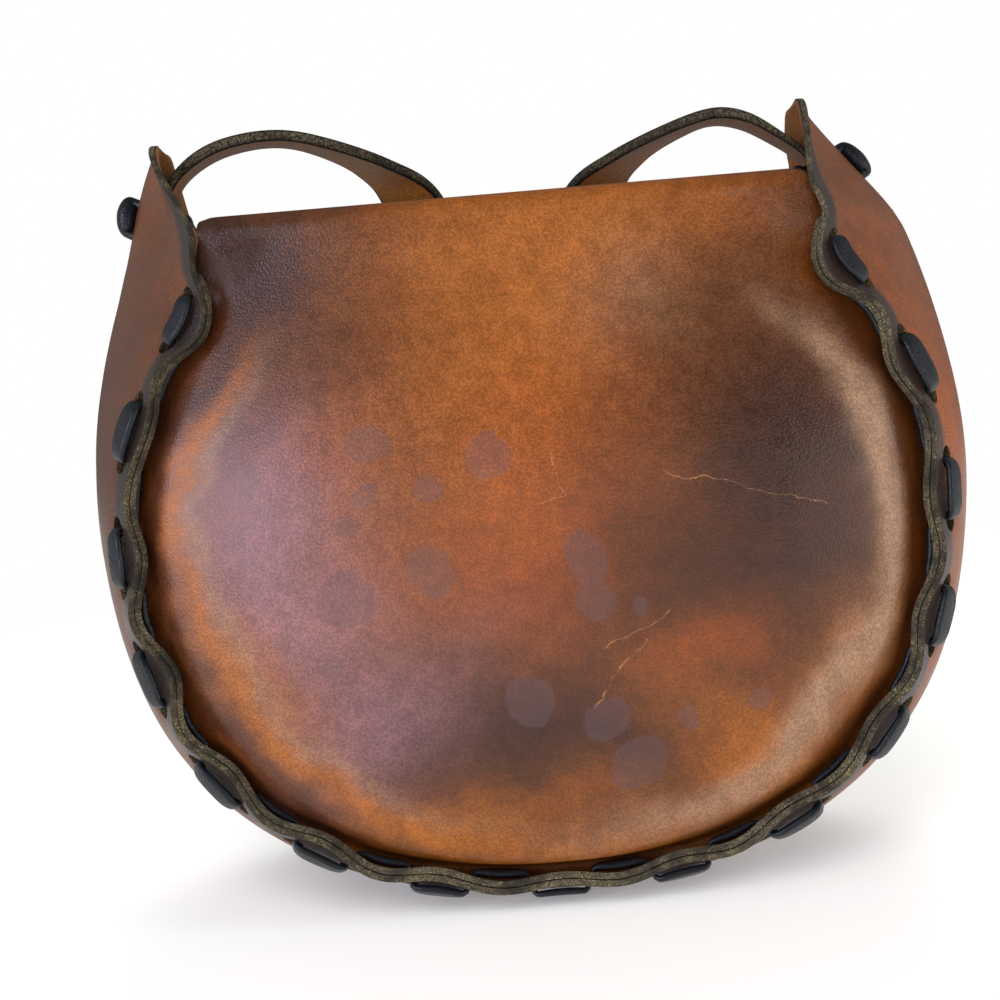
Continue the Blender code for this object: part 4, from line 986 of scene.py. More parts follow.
def pebbled_grain(tree, coords, size):
    """Height of a pebbled grain whose cushions are about size wide: 1 on a cushion, 0 in the creases."""
    bend = add_node(tree, "ShaderNodeTexNoise", {"Vector": coords, "Scale": 0.4 / size, "Detail": 2.0})
    centred = add_node(tree, "ShaderNodeVectorMath", {0: bend.outputs["Color"], 1: (0.5, 0.5, 0.5)},
                       operation="SUBTRACT")
    bent = add_node(tree, "ShaderNodeVectorMath", {0: centred.outputs[0], 1: (size * 1.3,) * 3, 2: coords},
                    operation="MULTIPLY_ADD")
    cells = add_node(tree, "ShaderNodeTexVoronoi",
                     {"Vector": bent.outputs[0], "Scale": 1 / size, "Smoothness": 0.35}, feature="SMOOTH_F1")
    height = add_node(tree, "ShaderNodeMapRange",
                      {"Value": cells.outputs["Distance"], "From Min": 0.12, "From Max": 0.72, "To Min": 1.0,
                       "To Max": 0.0}, interpolation_type="SMOOTHSTEP")
    return height.outputs[0]


def finish_leather(tree, shader, color, roughness, height, distance, shine, strength=1.0):
    """Wires the shader; shine is its specular level, low on dyed and dry leather."""
    tree.links.new(color, shader.inputs["Base Color"])
    tree.links.new(roughness, shader.inputs["Roughness"])
    bump = add_node(tree, "ShaderNodeBump", {"Height": height, "Strength": strength, "Distance": distance})
    tree.links.new(bump.outputs[0], shader.inputs["Normal"])
    shader.inputs["IOR"].default_value = 1.47
    shader.inputs["Specular IOR Level"].default_value = shine


# Middle and radius of each water stain on the back panel, in millimetres of the bag
WATER_STAINS = (
    (-9.3, 156.6, 7.5), (19.3, 120.8, 7.0), (20.2, 107.6, 6.5), (36.3, 105.3, 3.0), (-1.4, 76.9, 8.0),
    (21.5, 67.1, 6.5), (47.8, 64.3, 3.5), (31.9, 50.2, 8.0), (-47.8, 164.2, 5.5), (-56.1, 138.7, 4.0),
    (-50.3, 148.0, 3.5), (-31.4, 147.1, 4.5), (-59.2, 112.6, 9.5), (-67.2, 91.6, 3.5), (73.4, 70.2, 4.0),
    (-33.7, 122.0, 6.5), (-30.8, 116.8, 5.0),
)
# Both ends of each fine scratch there
SCRATCHES = (
    ((11.9, 157.4), (15.4, 140.8)), ((15.4, 140.8), (6.5, 139.9)), ((48.2, 146.1), (98.7, 130.4)),
    ((22.7, 90.9), (46.5, 102.1)), ((37.6, 93.0), (17.9, 71.4)), ((96.9, 59.5), (98.4, 55.5)),
)


def flat_place(tree, coords, bend, reach):
    """The place on the back in millimetres, moved a little by noise: x and height, depth left out."""
    centred = add_node(tree, "ShaderNodeVectorMath", {0: bend, 1: (0.5, 0.5, 0.5)}, operation="SUBTRACT")
    moved = add_node(tree, "ShaderNodeVectorMath", {0: centred.outputs[0], 1: (reach * MM,) * 3, 2: coords},
                     operation="MULTIPLY_ADD")
    flat = add_node(tree, "ShaderNodeVectorMath", {0: moved.outputs[0], 1: (1 / MM, 0, 1 / MM)},
                    operation="MULTIPLY")
    return flat.outputs[0]


def stain_share(tree, place):
    """How stained a place is: even inside each water stain, stronger on its crisp border."""
    nearest = None
    for x, z, radius in WATER_STAINS:
        away = add_node(tree, "ShaderNodeVectorMath", {0: place, 1: (x, 0, z)}, operation="DISTANCE")
        beyond = add_node(tree, "ShaderNodeMath", {0: away.outputs["Value"], 1: radius}, operation="SUBTRACT")
        if nearest is None:
            nearest = beyond
        else:
            nearest = add_node(tree, "ShaderNodeMath", {0: nearest.outputs[0], 1: beyond.outputs[0]},
                               operation="MINIMUM")
    inside = add_node(tree, "ShaderNodeMapRange",
                      {"Value": nearest.outputs[0], "From Min": -0.5, "From Max": 0.2, "To Min": 0.34,
                       "To Max": 0.0},
                      interpolation_type="SMOOTHSTEP")
    rim = add_node(tree, "ShaderNodeMath", {0: nearest.outputs[0]}, operation="ABSOLUTE")
    border = add_node(tree, "ShaderNodeMapRange",
                      {"Value": rim.outputs[0], "From Max": 0.8, "To Min": 0.24, "To Max": 0.0},
                      interpolation_type="SMOOTHSTEP")
    return add_node(tree, "ShaderNodeMath", {0: inside.outputs[0], 1: border.outputs[0]},
                    operation="ADD").outputs[0]


def scratch_share(tree, place):
    """1 along the fine scratches."""
    nearest = None
    for (ax, az), (bx, bz) in SCRATCHES:
        way = Vector((bx - ax, 0, bz - az))
        rel = add_node(tree, "ShaderNodeVectorMath", {0: place, 1: (ax, 0, az)}, operation="SUBTRACT")
        along = add_node(tree, "ShaderNodeVectorMath", {0: rel.outputs[0], 1: way / way.length_squared},
                         operation="DOT_PRODUCT")
        held = add_node(tree, "ShaderNodeClamp", {"Value": along.outputs["Value"]})
        foot = add_node(tree, "ShaderNodeVectorMath", {0: way, 3: held.outputs[0]}, operation="SCALE")
        away = add_node(tree, "ShaderNodeVectorMath", {0: rel.outputs[0], 1: foot.outputs[0]},
                        operation="DISTANCE")
        away = away.outputs["Value"]
        if nearest is not None:
            away = add_node(tree, "ShaderNodeMath", {0: nearest, 1: away}, operation="MINIMUM").outputs[0]
        nearest = away
    line = add_node(tree, "ShaderNodeMapRange",
                    {"Value": nearest, "From Min": 0.05, "From Max": 0.30, "To Min": 1.0, "To Max": 0.0},
                    interpolation_type="SMOOTHSTEP")
    return line.outputs[0]


def waxed_saddle_leather(colors, z):
    """Vegetable-tanned saddle leather, wet-moulded and waxed: pebbled, mottled, stained and scratched, with a
    low sheen that breaks up over the grain."""
    material, tree, shader, coords = shader_tree("waxed_saddle_leather")
    height = pebbled_grain(tree, coords, z.grain)
    # The vertex colour holds the tones together with painted highlights, sheen and shade
    patina = add_node(tree, "ShaderNodeAttribute", attribute_name="patina").outputs["Color"]
    inset = add_node(tree, "ShaderNodeAttribute", attribute_name="inset").outputs["Fac"]
    mottle = add_node(tree, "ShaderNodeTexNoise",
                      {"Vector": coords, "Scale": 150.0, "Detail": 5.0, "Roughness": 0.75})
    cloud = add_node(tree, "ShaderNodeTexNoise",
                     {"Vector": coords, "Scale": 24.0, "Detail": 3.0, "Roughness": 0.6})
    patch = mottle.outputs["Fac"]
    # Painted shade: the grain's creases are coloured darker than its cushions
    crease_shade = add_node(tree, "ShaderNodeMapRange",
                      {"Value": height, "From Max": 0.8, "To Min": 0.52, "To Max": 0.74},
                      interpolation_type="SMOOTHSTEP")
    fine = add_node(tree, "ShaderNodeMapRange",
                    {"Value": patch, "From Min": 0.3, "From Max": 0.72, "To Min": 0.80, "To Max": 1.16},
                    interpolation_type="SMOOTHSTEP")
    broad = add_node(tree, "ShaderNodeMapRange",
                     {"Value": cloud.outputs["Fac"], "From Min": 0.3, "From Max": 0.7, "To Min": 0.90,
                      "To Max": 1.10},
                     interpolation_type="SMOOTHSTEP")
    value = add_node(tree, "ShaderNodeMath", {0: fine.outputs[0], 1: broad.outputs[0]}, operation="MULTIPLY")
    value = add_node(tree, "ShaderNodeMath", {0: value.outputs[0], 1: crease_shade.outputs[0]},
                     operation="MULTIPLY")
    toned = add_node(tree, "ShaderNodeVectorMath", {0: patina, 3: value.outputs[0]},
                     operation="SCALE").outputs[0]
    warped = add_node(tree, "ShaderNodeVectorMath", {0: mottle.outputs["Color"], 1: (0.28,) * 3,
                                                     2: cloud.outputs["Color"]}, operation="MULTIPLY_ADD")
    place = flat_place(tree, coords, warped.outputs[0], 15.0)
    depth = add_node(tree, "ShaderNodeSeparateXYZ", {0: coords}).outputs["Y"]
    on_back = add_node(tree, "ShaderNodeMath", {0: depth, 1: -0.038}, operation="LESS_THAN").outputs[0]
    stained = add_node(tree, "ShaderNodeMath", {0: stain_share(tree, place), 1: on_back},
                       operation="MULTIPLY")
    toned = add_node(tree, "ShaderNodeMix", {0: stained.outputs[0], 6: toned, 7: (*colors.stain, 1)},
                     data_type="RGBA").outputs[2]
    broken = add_node(tree, "ShaderNodeMapRange",
                      {"Value": patch, "From Min": 0.38, "From Max": 0.62, "To Min": 0.04, "To Max": 0.34},
                      interpolation_type="SMOOTHSTEP")
    scratched = add_node(tree, "ShaderNodeMath", {0: scratch_share(tree, place), 1: broken.outputs[0]},
                         operation="MULTIPLY")
    scratched = add_node(tree, "ShaderNodeMath", {0: scratched.outputs[0], 1: on_back}, operation="MULTIPLY")
    toned = add_node(tree, "ShaderNodeMix", {0: scratched.outputs[0], 6: toned, 7: (*colors.scratch, 1)},
                     data_type="RGBA").outputs[2]
    reach = add_node(tree, "ShaderNodeMath", {0: cloud.outputs["Fac"], 1: 7 * MM, 2: inset},
                     operation="MULTIPLY_ADD")
    dyed = add_node(tree, "ShaderNodeMapRange",
                    {"Value": reach.outputs[0], "From Min": 7.5 * MM, "From Max": 12.0 * MM, "To Min": 0.94,
                     "To Max": 0.0}, interpolation_type="SMOOTHSTEP")
    color = add_node(tree, "ShaderNodeMix", {0: dyed.outputs[0], 6: toned, 7: (*colors.edge_dye, 1)},
                     data_type="RGBA").outputs[2]
    rough = add_node(tree, "ShaderNodeMath", {0: patch, 1: 0.30, 2: 0.24},
                     operation="MULTIPLY_ADD").outputs[0]
    relief = add_node(tree, "ShaderNodeMath", {0: patch, 1: 0.9, 2: height},
                      operation="MULTIPLY_ADD").outputs[0]
    finish_leather(tree, shader, color, rough, relief, 0.07 * MM, 0.40)
    return material


def worn_fibres(tree, coords, fibre_scale, worn_scale):
    """Two noises of a cut edge: its matted fibres, and where the dye is rubbed off them."""
    fibre = add_node(tree, "ShaderNodeTexNoise", {"Vector": coords, "Scale": fibre_scale, "Detail": 4.0,
                                                  "Roughness": 0.8}).outputs["Fac"]
    worn = add_node(tree, "ShaderNodeTexNoise", {"Vector": coords, "Scale": worn_scale, "Detail": 5.0,
                                                 "Roughness": 0.7}).outputs["Fac"]
    return fibre, worn


def burnished_edge(colors):
    """Cut edge, dyed and rubbed: matted fibres show olive where the dye is worn, and pale where they fray."""
    material, tree, shader, coords = shader_tree("burnished_edge")
    fibre, worn = worn_fibres(tree, coords, 1700.0, 75.0)
    matted = add_node(tree, "ShaderNodeMapRange", {"Value": fibre, "From Min": 0.34, "From Max": 0.70},
                      interpolation_type="SMOOTHSTEP")
    bare = add_node(tree, "ShaderNodeMapRange",
                    {"Value": worn, "From Min": 0.36, "From Max": 0.64, "To Min": 0.15, "To Max": 1.0},
                    interpolation_type="SMOOTHSTEP")
    share = add_node(tree, "ShaderNodeMath", {0: matted.outputs[0], 1: bare.outputs[0]}, operation="MULTIPLY")
    color = add_node(tree, "ShaderNodeMix",
                     {0: share.outputs[0], 6: (*colors.edge_dye, 1), 7: (*colors.edge_rubbed, 1)},
                     data_type="RGBA")
    tuft = add_node(tree, "ShaderNodeMapRange", {"Value": fibre, "From Min": 0.57, "From Max": 0.66},
                    interpolation_type="SMOOTHSTEP")
    loose = add_node(tree, "ShaderNodeMapRange",
                     {"Value": worn, "From Min": 0.42, "From Max": 0.6, "To Min": 0.1, "To Max": 0.9},
                     interpolation_type="SMOOTHSTEP")
    frayed = add_node(tree, "ShaderNodeMath", {0: tuft.outputs[0], 1: loose.outputs[0]}, operation="MULTIPLY")
    color = add_node(tree, "ShaderNodeMix", {0: frayed.outputs[0], 6: color.outputs[2], 7: (*colors.fray, 1)},
                     data_type="RGBA").outputs[2]
    rough = add_node(tree, "ShaderNodeMath", {0: worn, 1: 0.3, 2: 0.42}, operation="MULTIPLY_ADD").outputs[0]
    finish_leather(tree, shader, color, rough, fibre, 0.25 * MM, 0.16)
    return material


def black_corner(colors):
    """Rounded corner of a cut edge: thick black dye, burnished to a dull shine."""
    material, tree, shader, coords = shader_tree("black_corner")
    fibre, worn = worn_fibres(tree, coords, 900.0, 260.0)
    share = add_node(tree, "ShaderNodeMapRange",
                     {"Value": worn, "From Min": 0.56, "From Max": 0.75, "To Max": 0.6},
                     interpolation_type="SMOOTHSTEP")
    black = tuple(c * 0.6 for c in colors.edge_dye)
    color = add_node(tree, "ShaderNodeMix",
                     {0: share.outputs[0], 6: (*black, 1), 7: (*colors.edge_rubbed, 1)},
                     data_type="RGBA").outputs[2]
    rough = add_node(tree, "ShaderNodeMath", {0: fibre, 1: 0.3, 2: 0.32}, operation="MULTIPLY_ADD").outputs[0]
    finish_leather(tree, shader, color, rough, worn, 0.15 * MM, 0.2)
    return material


def flesh_side(colors):
    """Unfinished flesh side: matt, short-napped and warm tan."""
    material, tree, shader, coords = shader_tree("flesh_side")
    nap, patch = worn_fibres(tree, coords, 700.0, 35.0)
    share = add_node(tree, "ShaderNodeMapRange",
                     {"Value": nap, "From Min": 0.3, "From Max": 0.7, "To Max": 0.6},
                     interpolation_type="SMOOTHSTEP")
    share = add_node(tree, "ShaderNodeMath", {0: patch, 1: 0.5, 2: share.outputs[0]},
                     operation="MULTIPLY_ADD")
    dark = tuple(c * 0.4 for c in colors.flesh)
    color = add_node(tree, "ShaderNodeMix", {0: share.outputs[0], 6: (*dark, 1), 7: (*colors.flesh, 1)},
                     data_type="RGBA").outputs[2]
    inset = add_node(tree, "ShaderNodeAttribute", attribute_name="inset").outputs["Fac"]
    seeped = add_node(tree, "ShaderNodeMapRange",
                      {"Value": inset, "From Min": 4.0 * MM, "From Max": 6.0 * MM, "To Min": 1.0,
                       "To Max": 0.0},
                      interpolation_type="SMOOTHSTEP")
    color = add_node(tree, "ShaderNodeMix", {0: seeped.outputs[0], 6: color, 7: (*colors.edge_dye, 1)},
                     data_type="RGBA").outputs[2]
    rough = add_node(tree, "ShaderNodeMath", {0: nap, 1: 0.15, 2: 0.78}, operation="MULTIPLY_ADD").outputs[0]
    finish_leather(tree, shader, color, rough, nap, 0.2 * MM, 0.3, 0.6)
    return material


def latigo_thong(colors):
    """Oil-dyed latigo thong: blue-black, softly glossy, with cracked grain and grey scuffs."""
    material, tree, shader, coords = shader_tree("latigo_thong")
    height = pebbled_grain(tree, coords, 1.0 * MM)
    blotch = add_node(tree, "ShaderNodeTexNoise",
                      {"Vector": coords, "Scale": 170.0, "Detail": 5.0, "Roughness": 0.7}).outputs["Fac"]
    scuffed = add_node(tree, "ShaderNodeMapRange", {"Value": blotch, "From Min": 0.5, "From Max": 0.75},
                       interpolation_type="SMOOTHSTEP")
    share = add_node(tree, "ShaderNodeMath", {0: scuffed.outputs[0], 1: height}, operation="MULTIPLY")
    color = add_node(tree, "ShaderNodeMix",
                     {0: share.outputs[0], 6: (*colors.lace, 1), 7: (*colors.scuff, 1)},
                     data_type="RGBA").outputs[2]
    rough = add_node(tree, "ShaderNodeMath", {0: blotch, 1: 0.35, 2: 0.22},
                     operation="MULTIPLY_ADD").outputs[0]
    relief = add_node(tree, "ShaderNodeMath", {0: blotch, 1: 1.2, 2: height},
                      operation="MULTIPLY_ADD").outputs[0]
    finish_leather(tree, shader, color, rough, relief, 0.07 * MM, 0.32)
    return material


def waxed_strap_leather(colors):
    """Dark brown strap, waxed outside, warm and napped beneath, with black corners and rubbed edges."""
    material, tree, shader, coords = shader_tree("waxed_strap_leather")
    spot = add_node(tree, "ShaderNodeAttribute", attribute_name="profile_place").outputs["Vector"]
    spot = add_node(tree, "ShaderNodeSeparateXYZ", {0: spot})
    height = pebbled_grain(tree, coords, 0.8 * MM)
    speck, patch = worn_fibres(tree, coords, 1300.0, 50.0)
    fibrous = add_node(tree, "ShaderNodeMapRange", {"Value": speck, "From Min": 0.42, "From Max": 0.62},
                       interpolation_type="SMOOTHSTEP")
    rubbed = add_node(tree, "ShaderNodeMapRange",
                      {"Value": patch, "From Min": 0.3, "From Max": 0.65, "To Min": 0.25, "To Max": 1.0},
                      interpolation_type="SMOOTHSTEP")
    worn = add_node(tree, "ShaderNodeMath", {0: fibrous.outputs[0], 1: rubbed.outputs[0]},
                    operation="MULTIPLY").outputs[0]
    shades = []
    for tone_at, darkest, palest in ((colors.strap, 0.5, 1.5), (colors.strap_flesh, 0.45, 1.1)):
        dark, pale = tuple(c * darkest for c in tone_at), tuple(c * palest for c in tone_at)
        shades.append(add_node(tree, "ShaderNodeMix", {0: worn, 6: (*dark, 1), 7: (*pale, 1)},
                               data_type="RGBA"))
    flecked = add_node(tree, "ShaderNodeMath", {0: worn, 1: 0.65}, operation="MULTIPLY")
    edge = add_node(tree, "ShaderNodeMix",
                    {0: flecked.outputs[0], 6: (*colors.edge_dye, 1), 7: (*colors.edge_rubbed, 1)},
                    data_type="RGBA")
    under = add_node(tree, "ShaderNodeMapRange",
                     {"Value": spot.outputs["Y"], "From Min": 0.05, "From Max": -0.05},
                     interpolation_type="SMOOTHSTEP")
    color = add_node(tree, "ShaderNodeMix",
                     {0: under.outputs[0], 6: shades[0].outputs[2], 7: shades[1].outputs[2]},
                     data_type="RGBA")
    across = add_node(tree, "ShaderNodeMath", {0: spot.outputs["X"]}, operation="ABSOLUTE").outputs[0]
    corner = add_node(tree, "ShaderNodeMapRange", {"Value": across, "From Min": 0.86, "From Max": 0.9},
                      interpolation_type="SMOOTHSTEP")
    black = tuple(c * 0.6 for c in colors.edge_dye)
    color = add_node(tree, "ShaderNodeMix", {0: corner.outputs[0], 6: color.outputs[2], 7: (*black, 1)},
                     data_type="RGBA")
    cut = add_node(tree, "ShaderNodeMapRange", {"Value": across, "From Min": 0.95, "From Max": 0.985},
                   interpolation_type="SMOOTHSTEP")
    color = add_node(tree, "ShaderNodeMix", {0: cut.outputs[0], 6: color.outputs[2], 7: edge.outputs[2]},
                     data_type="RGBA").outputs[2]
    rough = add_node(tree, "ShaderNodeMath", {0: patch, 1: 0.3, 2: 0.36}, operation="MULTIPLY_ADD").outputs[0]
    relief = add_node(tree, "ShaderNodeMath", {0: speck, 1: 0.8, 2: height},
                      operation="MULTIPLY_ADD").outputs[0]
    finish_leather(tree, shader, color, rough, relief, 0.12 * MM, 0.08)
    return material


# Patina and painted light: soft patches of tone over the hide, in millimetres of the bag

BACK_PATCHES = (
    ("saddle", 0, 120, 400, 400, 0, 1.0),
    ("tan", 10, 222, 85, 26, 0, 0.5),
    # Painted highlight: a pale sheen right of the middle, below the fold
    ("rubbed", 40, 200, 24, 18, 10, 0.5),
    ("tan", -5, 190, 45, 40, 20, 0.6),
    ("orange", 10, 150, 32, 48, 0, 0.6),
    ("orange", 8, 112, 34, 26, 0, 0.9),
    ("umber", -86, 216, 34, 24, 30, 1.0),
    ("plum", -98, 230, 32, 18, 0, 0.9),
    ("plum", -84, 238, 30, 10, 0, 0.7),
    ("plum", 98, 232, 12, 10, 0, 0.6),
    ("umber", -64, 192, 34, 24, 30, 0.6),
    ("umber", -108, 174, 20, 24, 10, 0.95),
    # Dark tone, and partly painted shade of the dome's right-facing slope, in the next four patches
    ("umber", 86, 194, 38, 36, -30, 0.65),
    ("umber", 80, 140, 46, 56, 20, 1.0),
    ("plum", 94, 150, 32, 34, 0, 0.7),
    ("plum", 80, 108, 36, 22, 20, 0.75),
    ("umber", 12, 68, 62, 34, 0, 1.0),
    ("umber", -28, 50, 44, 22, 0, 0.75),
    ("plum", 20, 62, 56, 26, 0, 0.5),
    ("umber", 44, 112, 32, 30, 0, 0.8),
    ("orange", 54, 86, 26, 12, 10, 0.5),
    # Painted sheen: cool light reflected off the dome's left slope
    ("painted_sheen", -88, 138, 24, 34, -10, 0.55),
    ("painted_sheen", -78, 100, 30, 40, 20, 0.45),
    ("painted_sheen", -62, 62, 46, 18, 40, 0.4),
    # Painted light: bounce light along the bottom and highlights on the lower flanks
    ("tan", -98, 76, 12, 44, 35, 0.5),
    ("tan", -50, 28, 60, 10, 12, 0.8),
    ("tan", 0, 18, 70, 9, 0, 0.8),
    ("tan", 78, 42, 50, 14, -36, 0.75),
    ("tan", 108, 80, 12, 34, -20, 0.6),
)


# Painted light along the seam: painted shade in the groove beside the rim, a painted highlight stripe on
# the left flank and pale painted highlights on the moulded shoulder. Each is: tone, distance from the rim's
# edge, half width, strength, and side
BACK_SHADE_AND_HIGHLIGHT_BANDS = (
    ("umber", 8, 6, 0.85, -1),
    ("tan", 17, 4, 0.85, -1),
    ("rubbed", 23, 3.5, 0.4, -1),
    ("umber", 5, 4, 0.5, 1),
    ("rubbed", 17, 6, 0.85, 1),
)


def paint_patina_and_light(obj, colors, patches, rim, painted_light_bands=()):
    """Stores the layered tones, painted highlights, sheen and shade among them, as a colour on every vertex.
    """
    mesh = obj.data
    co = np.empty(len(mesh.vertices) * 3)
    mesh.vertices.foreach_get("co", co)
    co = co.reshape(-1, 3)
    drift = np.stack([wander(co, 30 * MM, 1.7), wander(co, 30 * MM, 9.2)], -1) * 9 * MM
    drift += np.stack([wander(co, 9 * MM, 4.4), wander(co, 9 * MM, 6.1)], -1) * 3 * MM
    x, z = co[:, 0] + drift[:, 0], co[:, 2] + drift[:, 1]
    color = np.tile(np.array(tuple(colors.saddle)), (len(co), 1))
    for name, px, pz, rx, rz, tilt, strength in patches:
        angle = math.radians(tilt)
        dx, dz = x - px * MM, z - pz * MM
        u = (dx * math.cos(angle) + dz * math.sin(angle)) / (rx * MM)
        v = (-dx * math.sin(angle) + dz * math.cos(angle)) / (rz * MM)
        share = (strength * np.exp(-(u * u + v * v) * 0.9))[:, None]
        color = mix(color, np.array(tuple(getattr(colors, name))), share)
    # Painted shade in the groove and painted highlights on the moulded shoulder, along the back's seam
    if painted_light_bands:
        line_x, line_z = rim.edge(np.linspace(-rim.seam_end, rim.seam_end, 121))
        away = away_from(np.stack([line_x, line_x, line_z], -1), x, z)
        behind = smoothstep((-co[:, 1] - 0.03) / 0.005)
        low = smoothstep((0.215 - z) / 0.05)
        for name, middle, half, strength, side in painted_light_bands:
            on_side = smoothstep(side * x / 0.12 + 0.25)
            share = strength * np.exp(-((away - middle * MM) / (half * MM)) ** 2) * on_side * behind * low
            color = mix(color, np.array(tuple(getattr(colors, name))), share[:, None])
    attribute = mesh.color_attributes.new("patina", "FLOAT_COLOR", "POINT")
    attribute.data.foreach_set("color", np.hstack([color, np.ones((len(co), 1))]).ravel())


GUSSET_PATCHES = (
    ("saddle", 0, 120, 400, 400, 0, 1.0),
    ("umber", -150, 170, 80, 90, 0, 0.85),
    ("umber", -110, 250, 50, 40, 0, 0.4),
    ("umber", -130, 60, 60, 50, 0, 0.4),
    ("orange", 150, 150, 60, 80, 0, 0.6),
    ("umber", 120, 235, 40, 40, 0, 0.4),
    ("umber", 0, 0, 90, 30, 0, 0.5),
)

FRONT_PATCHES = (
    ("saddle", 0, 120, 400, 400, 0, 1.0),
    ("tan", 0, 200, 80, 40, 0, 0.5),
    ("orange", 0, 120, 70, 50, 0, 0.5),
    ("umber", -90, 190, 40, 40, 0, 0.5),
    ("umber", 95, 120, 40, 60, 0, 0.5),
    # Painted sheen, as on the back's left slope
    ("painted_sheen", -70, 60, 40, 40, 0, 0.3),
)


# Stage

def seen_share(tree):
    """Two shares: rays from the camera or through glass, which show the white surround, and gloss."""
    path = add_node(tree, "ShaderNodeLightPath")
    seen = add_node(tree, "ShaderNodeMath",
                    {0: path.outputs["Is Camera Ray"], 1: path.outputs["Is Transmission Ray"]},
                    operation="MAXIMUM")
    return seen.outputs[0], path.outputs["Is Glossy Ray"]


def make_floor():
    """A wide pale disc that fades into the white surround and keeps the bag's shadow."""
    mesh = bpy.data.meshes.new("floor")
    bm = bmesh.new()
    bmesh.ops.create_circle(bm, cap_ends=True, segments=96, radius=6.0)
    bm.to_mesh(mesh)
    bm.free()
    floor = bpy.data.objects.new("floor", mesh)
    bpy.context.scene.collection.objects.link(floor)
    material = bpy.data.materials.new("pale_studio_floor")
    material.use_nodes = True
    tree = material.node_tree
    tree.nodes.clear()
    coords = add_node(tree, "ShaderNodeTexCoord").outputs["Object"]
    away = add_node(tree, "ShaderNodeVectorMath", {0: coords}, operation="LENGTH").outputs["Value"]
    seen, mirrored = seen_share(tree)
    shown = add_node(tree, "ShaderNodeMath", {0: seen, 1: mirrored}, operation="MAXIMUM").outputs[0]
    matt = add_node(tree, "ShaderNodeBsdfDiffuse", {"Color": (0.80, 0.80, 0.79, 1)})
    lift = add_node(tree, "ShaderNodeMath", {0: shown, 1: 0.16}, operation="MULTIPLY")
    glow = add_node(tree, "ShaderNodeEmission", {"Strength": lift.outputs[0]})
    near = add_node(tree, "ShaderNodeAddShader", {0: matt.outputs[0], 1: glow.outputs[0]})
    white = add_node(tree, "ShaderNodeEmission", {"Strength": 1.0})
    far = add_node(tree, "ShaderNodeMapRange", {"Value": away, "From Min": 0.35, "From Max": 1.5},
                   interpolation_type="SMOOTHSTEP")
    share = add_node(tree, "ShaderNodeMath", {0: far.outputs[0], 1: shown}, operation="MULTIPLY")
    both = add_node(tree, "ShaderNodeMixShader",
                    {0: share.outputs[0], 1: near.outputs[0], 2: white.outputs[0]})
    add_node(tree, "ShaderNodeOutputMaterial", {"Surface": both.outputs[0]})
    mesh.materials.append(material)
    return floor


def make_world():
    """A white surround: gloss sees it white at the sides, and darker overhead, in front and behind."""
    world = bpy.data.worlds.new("studio")
    bpy.context.scene.world = world
    world.use_nodes = True
    tree = world.node_tree
    tree.nodes.clear()
    seen, mirrored = seen_share(tree)
    way = add_node(tree, "ShaderNodeTexCoord").outputs["Generated"]
    way = add_node(tree, "ShaderNodeSeparateXYZ", {0: way})
    facing = add_node(tree, "ShaderNodeMath", {0: way.outputs["Y"]}, operation="ABSOLUTE")
    sides = add_node(tree, "ShaderNodeMapRange",
                     {"Value": facing.outputs[0], "From Min": 0.35, "From Max": 0.9, "To Min": 0.65,
                      "To Max": 0.10},
                     interpolation_type="SMOOTHSTEP")
    overhead = add_node(tree, "ShaderNodeMapRange",
                        {"Value": way.outputs["Z"], "From Min": 0.3, "From Max": 0.9, "To Min": 1.0,
                         "To Max": 0.35},
                        interpolation_type="SMOOTHSTEP")
    gloss = add_node(tree, "ShaderNodeMath", {0: sides.outputs[0], 1: overhead.outputs[0]},
                     operation="MULTIPLY")
    lit = add_node(tree, "ShaderNodeMix", {0: mirrored, 2: 0.55, 3: gloss.outputs[0]})
    share = add_node(tree, "ShaderNodeMix", {0: seen, 2: lit.outputs[0], 3: 1.0})
    sky = add_node(tree, "ShaderNodeBackground", {"Color": (1.0, 1.0, 1.0, 1), "Strength": share.outputs[0]})
    add_node(tree, "ShaderNodeOutputWorld", {"Surface": sky.outputs[0]})


MIDDLE = (0, 0, 0.13)
# Lamps: name, place, target, size, power, colour, and whether gloss mirrors it
LAMPS = (
    ("key", (-0.35, -1.1, 1.25), MIDDLE, (0.9, 0.9), 14, (1.0, 0.96, 0.90), False),
    ("cool_left", (-0.95, -1.10, 0.36), MIDDLE, (0.5, 0.7), 13, (0.72, 0.76, 1.0), True),
    ("right_side", (1.2, -0.25, 0.35), MIDDLE, (0.35, 0.9), 6, (0.96, 0.96, 1.0), False),
    ("right_front", (1.05, -0.80, 0.08), MIDDLE, (0.35, 0.6), 5, (1.0, 0.98, 0.96), True),
    ("low_front", (0.0, -0.9, 0.03), (0, 0, 0.06), (0.9, 0.12), 7, (1.0, 0.95, 0.88), False),
    ("top_back", (0.2, 0.9, 1.3), MIDDLE, (1.0, 0.7), 10, (1.0, 0.98, 0.95), False),
)


def area_light(name, place, target, size, power, color, mirrored):
    """A soft lamp. The leather's gloss shows it only where it is mirrored."""
    data = bpy.data.lights.new(name, "AREA")
    data.shape = "RECTANGLE"
    data.size, data.size_y = size
    data.energy = power
    data.color = color
    light = bpy.data.objects.new(name, data)
    light.location = place
    light.visible_glossy = mirrored
    light.rotation_euler = (Vector(target) - Vector(place)).to_track_quat("-Z", "Y").to_euler()
    bpy.context.scene.collection.objects.link(light)


CAMERA_PLACE = (0.0, -0.393, 0.1575)
CAMERA_YAW, CAMERA_PITCH, CAMERA_ROLL = math.radians(-1.54), math.radians(-3.0), math.radians(-4.95)
CAMERA_LENS, SENSOR = 37.8, 36.0


